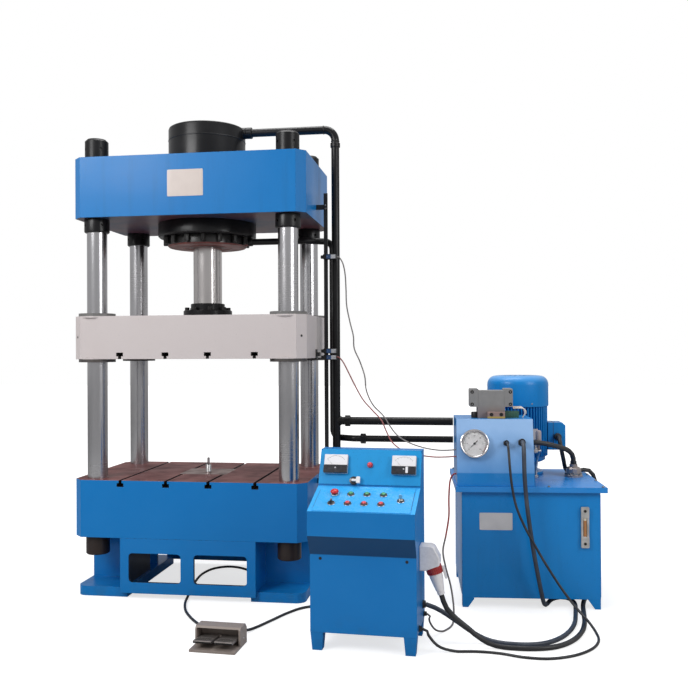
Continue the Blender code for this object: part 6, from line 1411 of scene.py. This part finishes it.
def desk_finish():
    made, shader, paint, place = finish("desk_enamel_and_bezels", coat=0.15, ior=1.38,
                                        coat_roughness=0.12)
    soft, worn = edges(paint, 0.0014, 0.02, 0.14)
    bezel = off_seat(place, desk_seat, 2).clip(0.0038, 0.0042)
    cloud = place.noise(4.0, 6.0).clip(0.38, 0.7)
    smudge = place.noise(22.0, 5.0).clip(0.5, 0.66)
    peel = place.noise(420.0, 1.0)
    shade = (cloud * 0.3).blend((0.035, 0.37, 0.8), (0.05, 0.43, 0.86))
    shade = (smudge * 0.15).blend(shade, (0.03, 0.2, 0.45))
    shade = bezel.blend(shade, (smudge * 0.5).blend((0.16, 0.17, 0.2), (0.09, 0.09, 0.1)))
    shade = (worn * bezel * 0.5).blend(shade, (0.5, 0.5, 0.52))
    wear(paint, shader, shade, peel * 0.06 + smudge * 0.16 + 0.24, peel, 0.0002, soft)
    paint.put(shader.inputs["Metallic"], bezel * 0.7)
    return made


dress("console_desk", desk_finish())
panel_gaps = shape_of()
block(panel_gaps, (-0.2405, 0.03, 0.00335), (-0.2392, 0.215, 0.0036))
block(panel_gaps, (0.2392, 0.03, 0.00335), (0.2405, 0.215, 0.0036))
made_piece("desk_seams", panel_gaps, hole_shade_and_seams, "black_paint", place=desk_seat)
fasteners = shape_of()
slots = shape_of()
for x, z in ((-0.2105, 0.452), (0.216, 0.452)):
    turned(fasteners, [(0, 0.0022), (0.0058, 0.002), (0.0075, 0.0012), (0.0078, 0.0002)], 28,
           (x, 0, z), to_front)
    block(slots, (x - 0.0048, -0.0026, z - 0.0008), (x + 0.0048, -0.002, z + 0.0008))
made_piece("panel_fasteners", fasteners, blackened_screw, "black_paint", place=console)
# The fasteners' slots are thin dark blocks: painted shade in the slots.
made_piece("fastener_slots", slots, hole_shade_and_seams, "black_paint", place=console)

# Desk controls: three green and three red lit buttons, a red mushroom stop, a black selector and
# a key lock, each in its bezel with a dark collar. They travel straight into the desk.
def lens(name, colour, inner, rough=0.16):
    """Moulded translucent plastic: a lit core, mould grain, fine scuffs on the crown."""
    made, shader, paint, place = finish(name, coat=0.2, ior=1.45)
    soft, worn = edges(paint, 0.0008, 0.02, 0.2)
    cloud = place.noise(60.0, 4.0).clip(0.38, 0.7)
    fine = place.noise(700.0, 1.0)
    shade = cloud.blend(colour, inner)
    shade = (worn * 0.3).blend(shade, (0.65, 0.6, 0.6))
    wear(paint, shader, shade, fine * 0.08 + cloud * 0.08 + rough, fine, 0.0001, soft)
    return made


green_lens = lens("green_lens", (0.055, 0.3, 0.13), (0.09, 0.4, 0.18))
red_lens = lens("red_lens", (0.62, 0.045, 0.055), (0.72, 0.1, 0.11))
stop_red = lens("stop_red", (0.56, 0.014, 0.02), (0.5, 0.01, 0.016), 0.22)
collar_black = rubber("collar_black", (0.014, 0.014, 0.018), (0.05, 0.05, 0.055), 500)


def stem(seat):
    """A control's stem inside the desk, up to the height at which its head sits on it."""
    return [(0, -0.022), (0.005, -0.022), (0.005, seat), (0.0108, seat)]


collars = shape_of()
bezel_rings = shape_of()
columns = (-0.1575, -0.076, 0.006, 0.089)
UPPER_ROW, LOWER_ROW, LOCK = 0.172, 0.078, (0.181, 0.118)
for x, y in [(c, UPPER_ROW) for c in columns] + [(c, LOWER_ROW) for c in columns] + [LOCK]:
    turned(bezel_rings, [(0.0156, 0.0031), (0.0192, 0.0031), (0.0192, 0.0048), (0.0184, 0.0058),
                         (0.0156, 0.006)], 40, (x, y, 0))
    if (x, y) != (columns[0], UPPER_ROW):
        turned(collars, [
            (0.0114, 0.0091), (0.0156, 0.0091), (0.0156, 0.0061), (0.0174, 0.0061),
            (0.0174, 0.0096), (0.015, 0.0108), (0.012, 0.0108), (0.0114, 0.01)], 40, (x, y, 0))
made_piece("bezel_rings", bezel_rings, polished("bezel_steel", (0.62, 0.6, 0.62), 0.26),
           "polished_steel", place=desk_seat)
made_piece("button_collars", collars, collar_black, "black_plastic", place=desk_seat)
for colour, material, y in (("green", green_lens, UPPER_ROW), ("red", red_lens, LOWER_ROW)):
    for number, x in enumerate(columns[1:], 1):
        cap = shape_of()
        turned(cap, stem(0.0086) + [(0.0108, 0.015), (0.0102, 0.016), (0.0088, 0.0164),
                                    (0.008, 0.0158), (0.004, 0.0162), (0, 0.0165)], 36)
        name = colour + "_button_" + str(number)
        made_piece(name + "_cap", cap, material, colour + "_plastic", (name,), name,
                   desk_seat @ flat(x, y, 0))
mushroom = shape_of()
turned(mushroom, stem(-0.004) + [
    (0.0108, 0.015), (0.019, 0.0152), (0.0208, 0.0165), (0.0209, 0.0185), (0.02, 0.0215),
    (0.018, 0.0243), (0.0145, 0.0268), (0.0095, 0.0284), (0.0045, 0.0289), (0, 0.029)], 48)
made_piece("stop_mushroom", mushroom, stop_red, "red_plastic", ("emergency_stop",),
           "emergency_stop", desk_seat @ flat(columns[0], UPPER_ROW))
selector = shape_of()
turned(selector, stem(0.0046) + [(0.0108, 0.0112), (0.0102, 0.0118), (0, 0.0118)], 36)
extruded(selector, [(-0.004, -0.0135), (0.004, -0.0135), (0.0034, 0.0135), (-0.0034, 0.0135)],
         0.011, 0.0244)
made_piece("selector_knob", selector, collar_black, "black_plastic", ("selector_switch",),
           "selector_switch", desk_seat @ flat(columns[0], LOWER_ROW), 0.0008)
line_mark = shape_of()
block(line_mark, (-0.0007, 0.001, 0.0243), (0.0007, 0.0125, 0.02445))
white_ink = rubber("white_ink", (0.78, 0.76, 0.76), (0.66, 0.64, 0.64), 900)
made_piece("selector_line", line_mark, white_ink, "white_plastic", body="selector_switch",
           place=desk_seat @ flat(columns[0], LOWER_ROW))
barrel_key = shape_of()
turned(barrel_key, stem(0.0046) + [(0.0108, 0.0112), (0.0098, 0.0124), (0.006, 0.0124),
                                   (0.0056, 0.0112)], 36)
key_outline = [
    (-0.0032, 0.01), (0.0032, 0.01), (0.0032, 0.0185), (0.009, 0.02), (0.009, 0.034),
    (0.006, 0.0384), (-0.006, 0.0384), (-0.009, 0.034), (-0.009, 0.02), (-0.0032, 0.0185)]
extruded(barrel_key, key_outline, -0.0011, 0.0011, turn=to_front)
made_piece("key_and_lock", barrel_key, polished("key_nickel", (0.62, 0.6, 0.57), 0.22),
           "polished_steel", ("key_switch",), "key_switch", desk_seat @ flat(*LOCK), 0.0003)

# Meter panel: two square moving-coil meters, white dial above and black cover below, a red lamp
# between them and the main switch, a black disc with a white lever.
case_plastic = lens("meter_case_black", (0.016, 0.016, 0.022), (0.03, 0.03, 0.038), 0.14)
clear_white = plate_metal("meter_dial_white", (0.8, 0.79, 0.82), (0.72, 0.7, 0.74))
METER_PIVOT, METER_PRINT = -0.0235, (0.0229, 0.023)
grey_case = lens("meter_case_grey", (0.55, 0.54, 0.56), (0.48, 0.47, 0.5), 0.2)
for name, side in (("meter_left", -1), ("meter_right", 1)):
    seat = panel_seat @ flat(side * 0.176, 0.112, 0)
    housing = shape_of()
    extruded(housing, rounded_box(0.124, 0.099, 0.006, 4), 0.0037, 0.018)
    made_piece(name + "_case", housing, grey_case, "white_plastic", (name,), place=seat, edge=0.001)
    lower = shape_of()
    extruded(lower, rounded_box(0.1242, 0.042, 0.0045, 4, (0, -0.0286)), 0.0165, 0.0274)
    made_piece(name + "_cover", lower, case_plastic, "black_plastic", place=seat, edge=0.0014)
    face_plate = shape_of()
    extruded(face_plate, rounded_box(0.12, 0.0545, 0.003, 4, (0, 0.0208)), 0.0182, 0.0228)
    made_piece(name + "_dial", face_plate, clear_white, "white_plastic", place=seat, edge=0.0006)
    scale = shape_of()
    for step in range(31):
        wide = 0.00045 if step % 5 == 0 else 0.00025
        inner = 0.06 if step % 5 == 0 else 0.0625
        extruded(scale, [(inner, -wide), (0.0655, -wide), (0.0655, wide), (inner, wide)],
                 *METER_PRINT, (0, METER_PIVOT, 0), spun(135 - 3 * step))
    arc(scale, 0.0655, 0.0659, 135, 3, 30, METER_PRINT, METER_PIVOT)
    extruded(scale, [(0.026, -0.0004), (0.061, -0.0002), (0.061, 0.0002), (0.026, 0.0004)], 0.0233,
             0.0237, (0, METER_PIVOT, 0), spun(133))
    made_piece(name + "_scale", scale, ink, "black_plastic", place=seat)
    zero = shape_of()
    turned(zero, [(0.0012, 0.0276), (0.0012, 0.0284), (0.0038, 0.0282), (0.0042, 0.0272),
                  (0, 0.0272), (0, 0.0276)], 24, (0, -0.023, 0))
    made_piece(name + "_zero_screw", zero, grey_case, "white_plastic", place=seat)
tab = shape_of()
extruded(tab, rounded_box(0.0125, 0.033, 0.002, 3, (0.016, -0.027)), 0.0276, 0.028)
made_piece("meter_right_tab", tab, clear_white, "white_plastic", place=panel_seat
           @ flat(0.176, 0.112, 0))
lamp_shape = shape_of()
turned(lamp_shape, [(0, 0.004), (0.0118, 0.004), (0.0118, 0.016), (0.0108, 0.019), (0.0085, 0.0215),
                    (0.0045, 0.0232), (0, 0.0236)], 40, (0, 0.112, 0))
made_piece("lamp_lens", lamp_shape, lens("lamp_red", (0.66, 0.03, 0.045), (0.75, 0.1, 0.12), 0.1),
           "red_plastic", ("indicator_lamp",), place=panel_seat)
lamp_ring = shape_of()
turned(lamp_ring, [(0.0119, 0.0037), (0.015, 0.0037), (0.015, 0.008), (0.0142, 0.0092),
                   (0.0122, 0.0094), (0.0119, 0.009)], 40, (0, 0.112, 0))
made_piece("lamp_bezel", lamp_ring, lens("lamp_bezel_red", (0.42, 0.05, 0.07), (0.36, 0.04, 0.05),
                                         0.2), "red_plastic", place=panel_seat)
switch_seat = panel_seat @ flat(-0.079, 0.028, 0)
disc = shape_of()
turned(disc, [(0, -0.015), (0.005, -0.015), (0.005, 0.004), (0.0218, 0.004), (0.022, 0.009),
              (0.0205, 0.0118), (0.018, 0.0125)], 48)
turned(disc, [(0, 0.012), (0.0085, 0.012), (0.0085, 0.0175), (0.0075, 0.0185)], 32)
made_piece("main_switch_disc", disc, case_plastic, "black_plastic", ("main_switch",), "main_switch",
           switch_seat)
lever = shape_of()
extruded(lever, rounded_box(0.02, 0.034, 0.0045, 4, (0.0255, 0)), 0.0128, 0.027)
extruded(lever, rounded_box(0.03, 0.012, 0.004, 4, (0.006, 0)), 0.013, 0.0225)
made_piece("main_switch_lever", lever, white_ink, "white_plastic", body="main_switch",
           place=switch_seat, edge=0.0014)

# Power inlet: a white moulded inlet with a sloping hood on the console's right side; its flap
# lifts over a red-collared plug that hangs from it at a slant, with ribs where it is held.
socket_white = lens("inlet_white", (0.8, 0.78, 0.8), (0.72, 0.7, 0.72), 0.26)
side = CONSOLE_SIDE + 0.0003
housing = shape_of()
extruded(housing, [
    (side, 0.386), (side + 0.03, 0.386), (side + 0.1, 0.414), (side + 0.1, 0.45),
    (side + 0.072, 0.502), (side + 0.055, 0.508), (side, 0.508)], -0.19, -0.1, turn=to_front)
made_piece("inlet_housing", housing, socket_white, "white_plastic", ("power_inlet",), place=console,
           edge=0.005)
mouth = console @ flat(side + 0.066, 0.145, 0.402) @ spun(-15.7, "Y")
flap = shape_of()
extruded(flap, rounded_box(0.012, 0.064, 0.005, 4, (0.0465, -0.04)), -0.0115, 0.0115, turn=to_front)
made_piece("inlet_flap", flap, socket_white, "white_plastic", place=mouth, edge=0.002)
collar_red = lens("collar_red", (0.3, 0.01, 0.012), (0.36, 0.02, 0.02), 0.24)
red_collar = shape_of()
turned(red_collar, [(0, 0.008), (0.0385, 0.008), (0.0398, 0.004), (0.0398, -0.031),
                    (0.0385, -0.0355), (0, -0.0358)], 48)
made_piece("inlet_collar", red_collar, collar_red, "red_plastic", place=mouth)
ribs = shape_of()
for number in range(24):
    turn_to = spun(360 * number / 24)
    extruded(ribs, [(0.039, -0.0014), (0.0408, -0.001), (0.0408, 0.001), (0.039, 0.0014)], -0.03,
             -0.006, turn=turn_to)
made_piece("collar_ribs", ribs, collar_red, "red_plastic", place=mouth)
plug_grip = shape_of()
turned(plug_grip, [
    (0, -0.0363), (0.031, -0.0363), (0.0329, -0.0385), (0.0329, -0.056), (0.031, -0.06),
    (0.0312, -0.064), (0.03, -0.072), (0.021, -0.12), (0.0196, -0.123), (0.018, -0.1236),
    (0.018, -0.138), (0.0165, -0.1422), (0.0135, -0.1422)], 48)
made_piece("plug_grip", plug_grip, socket_white, "white_plastic", ("power_plug",), place=mouth)
nut_ribs = shape_of()
for number in range(14):
    turn_to = spun(360 * number / 14)
    extruded(nut_ribs, [(0.0176, -0.0016), (0.0188, -0.001), (0.0188, 0.001), (0.0176, 0.0016)],
             -0.136, -0.125, turn=turn_to)
made_piece("plug_nut_ribs", nut_ribs, socket_white, "white_plastic", place=mouth)

# Cable entries: black rubber sleeves on the console's glands, three on its right side and two at
# the rear, moulded with rings where they flex.
sleeves = shape_of()
to_rear = spun(-90, "X")
for at, radius, spin in (((CONSOLE_SIDE, 0.258, 0.178), 0.017, sideways),
                         ((CONSOLE_SIDE, 0.078, 0.112), 0.012, sideways),
                         ((CONSOLE_SIDE, 0.31, 0.114), 0.01, sideways),
                         ((-0.05, 0.36, 0.11), 0.013, to_rear),
                         ((-0.17, 0.36, 0.114), 0.013, to_rear)):
    turned(sleeves, [
        (radius + 0.0002, 0.001), (radius + 0.004, 0.001), (radius + 0.004, 0.005),
        (radius + 0.0012, 0.0062), (radius + 0.0012, 0.0085), (radius + 0.0022, 0.0095),
        (radius + 0.0012, 0.0105), (radius + 0.0012, 0.0125), (radius + 0.0022, 0.0135),
        (radius + 0.0002, 0.015)], 28, at, spin)
made_piece("entry_sleeves", sleeves, black_rubber, "black_plastic", place=console)

# Foot switch: a cast hood over two treadles that rock on one steel pin. Castings are painted a
# brownish grey that has rubbed through on the treadles' treads.
foot_place = Matrix.Translation(PRESS) @ flat(0.405, -1.245, yaw=CONSOLE_YAW)
foot_grey = casting("foot_switch_casting", (0.26, 0.215, 0.19), (0.1, 0.1, 0.1), None, 0.34)


def treadle():
    made, shader, paint, place = finish("treadle_casting", metallic=0.6)
    soft, worn = edges(paint, 0.0012, 0.02, 0.14)
    grain = place.noise(190.0, 4.0)
    cloud = place.noise(30.0, 5.0).clip(0.4, 0.64)
    # Faces towards the front are made almost black: painted shade on the treadles' fronts.
    front = paint.normal().dot((-0.05, -1.0, 0.0)).clip(0.7, 0.85)
    shade = (cloud * 0.7).blend((0.21, 0.19, 0.18), (0.12, 0.105, 0.1))
    shade = (worn * 0.6).blend(shade, (0.5, 0.48, 0.46))
    shade = front.blend(shade, (0.012, 0.011, 0.011))
    wear(paint, shader, shade, grain * 0.16 + cloud * 0.14 + 0.26, grain, 0.0005, soft)
    return made


dress("foot_switch_body", foot_grey)
rubbed = treadle()
dress("pedal_left", rubbed)
dress("pedal_right", rubbed)
HOOD_SIDE = 0.1176
hood_screws = shape_of()
for x in (-HOOD_SIDE, HOOD_SIDE):
    for y, z in ((0.1, 0.08), (0.175, 0.03)):
        side_turn = spun(90 if x > 0 else -90, "Y")
        turned(hood_screws, [(0, 0.0016), (0.0024, 0.0014), (0.0036, 0.0002), (0.0036, -0.001)], 20,
               (x, y, z), side_turn)
made_piece("hood_screws", hood_screws, steel_fastener, "grey_metal", place=foot_place)
pin_caps = shape_of()
for x in (-0.1175, 0.1175):
    side_turn = spun(90 if x > 0 else -90, "Y")
    turned(pin_caps, [(0, 0.0024), (0.0044, 0.0022), (0.0052, 0.0012), (0.0052, -0.001)], 24,
           (x, 0.138, 0.036), side_turn)
made_piece("pin_ends", pin_caps, bright_rivet, "polished_steel", place=foot_place)
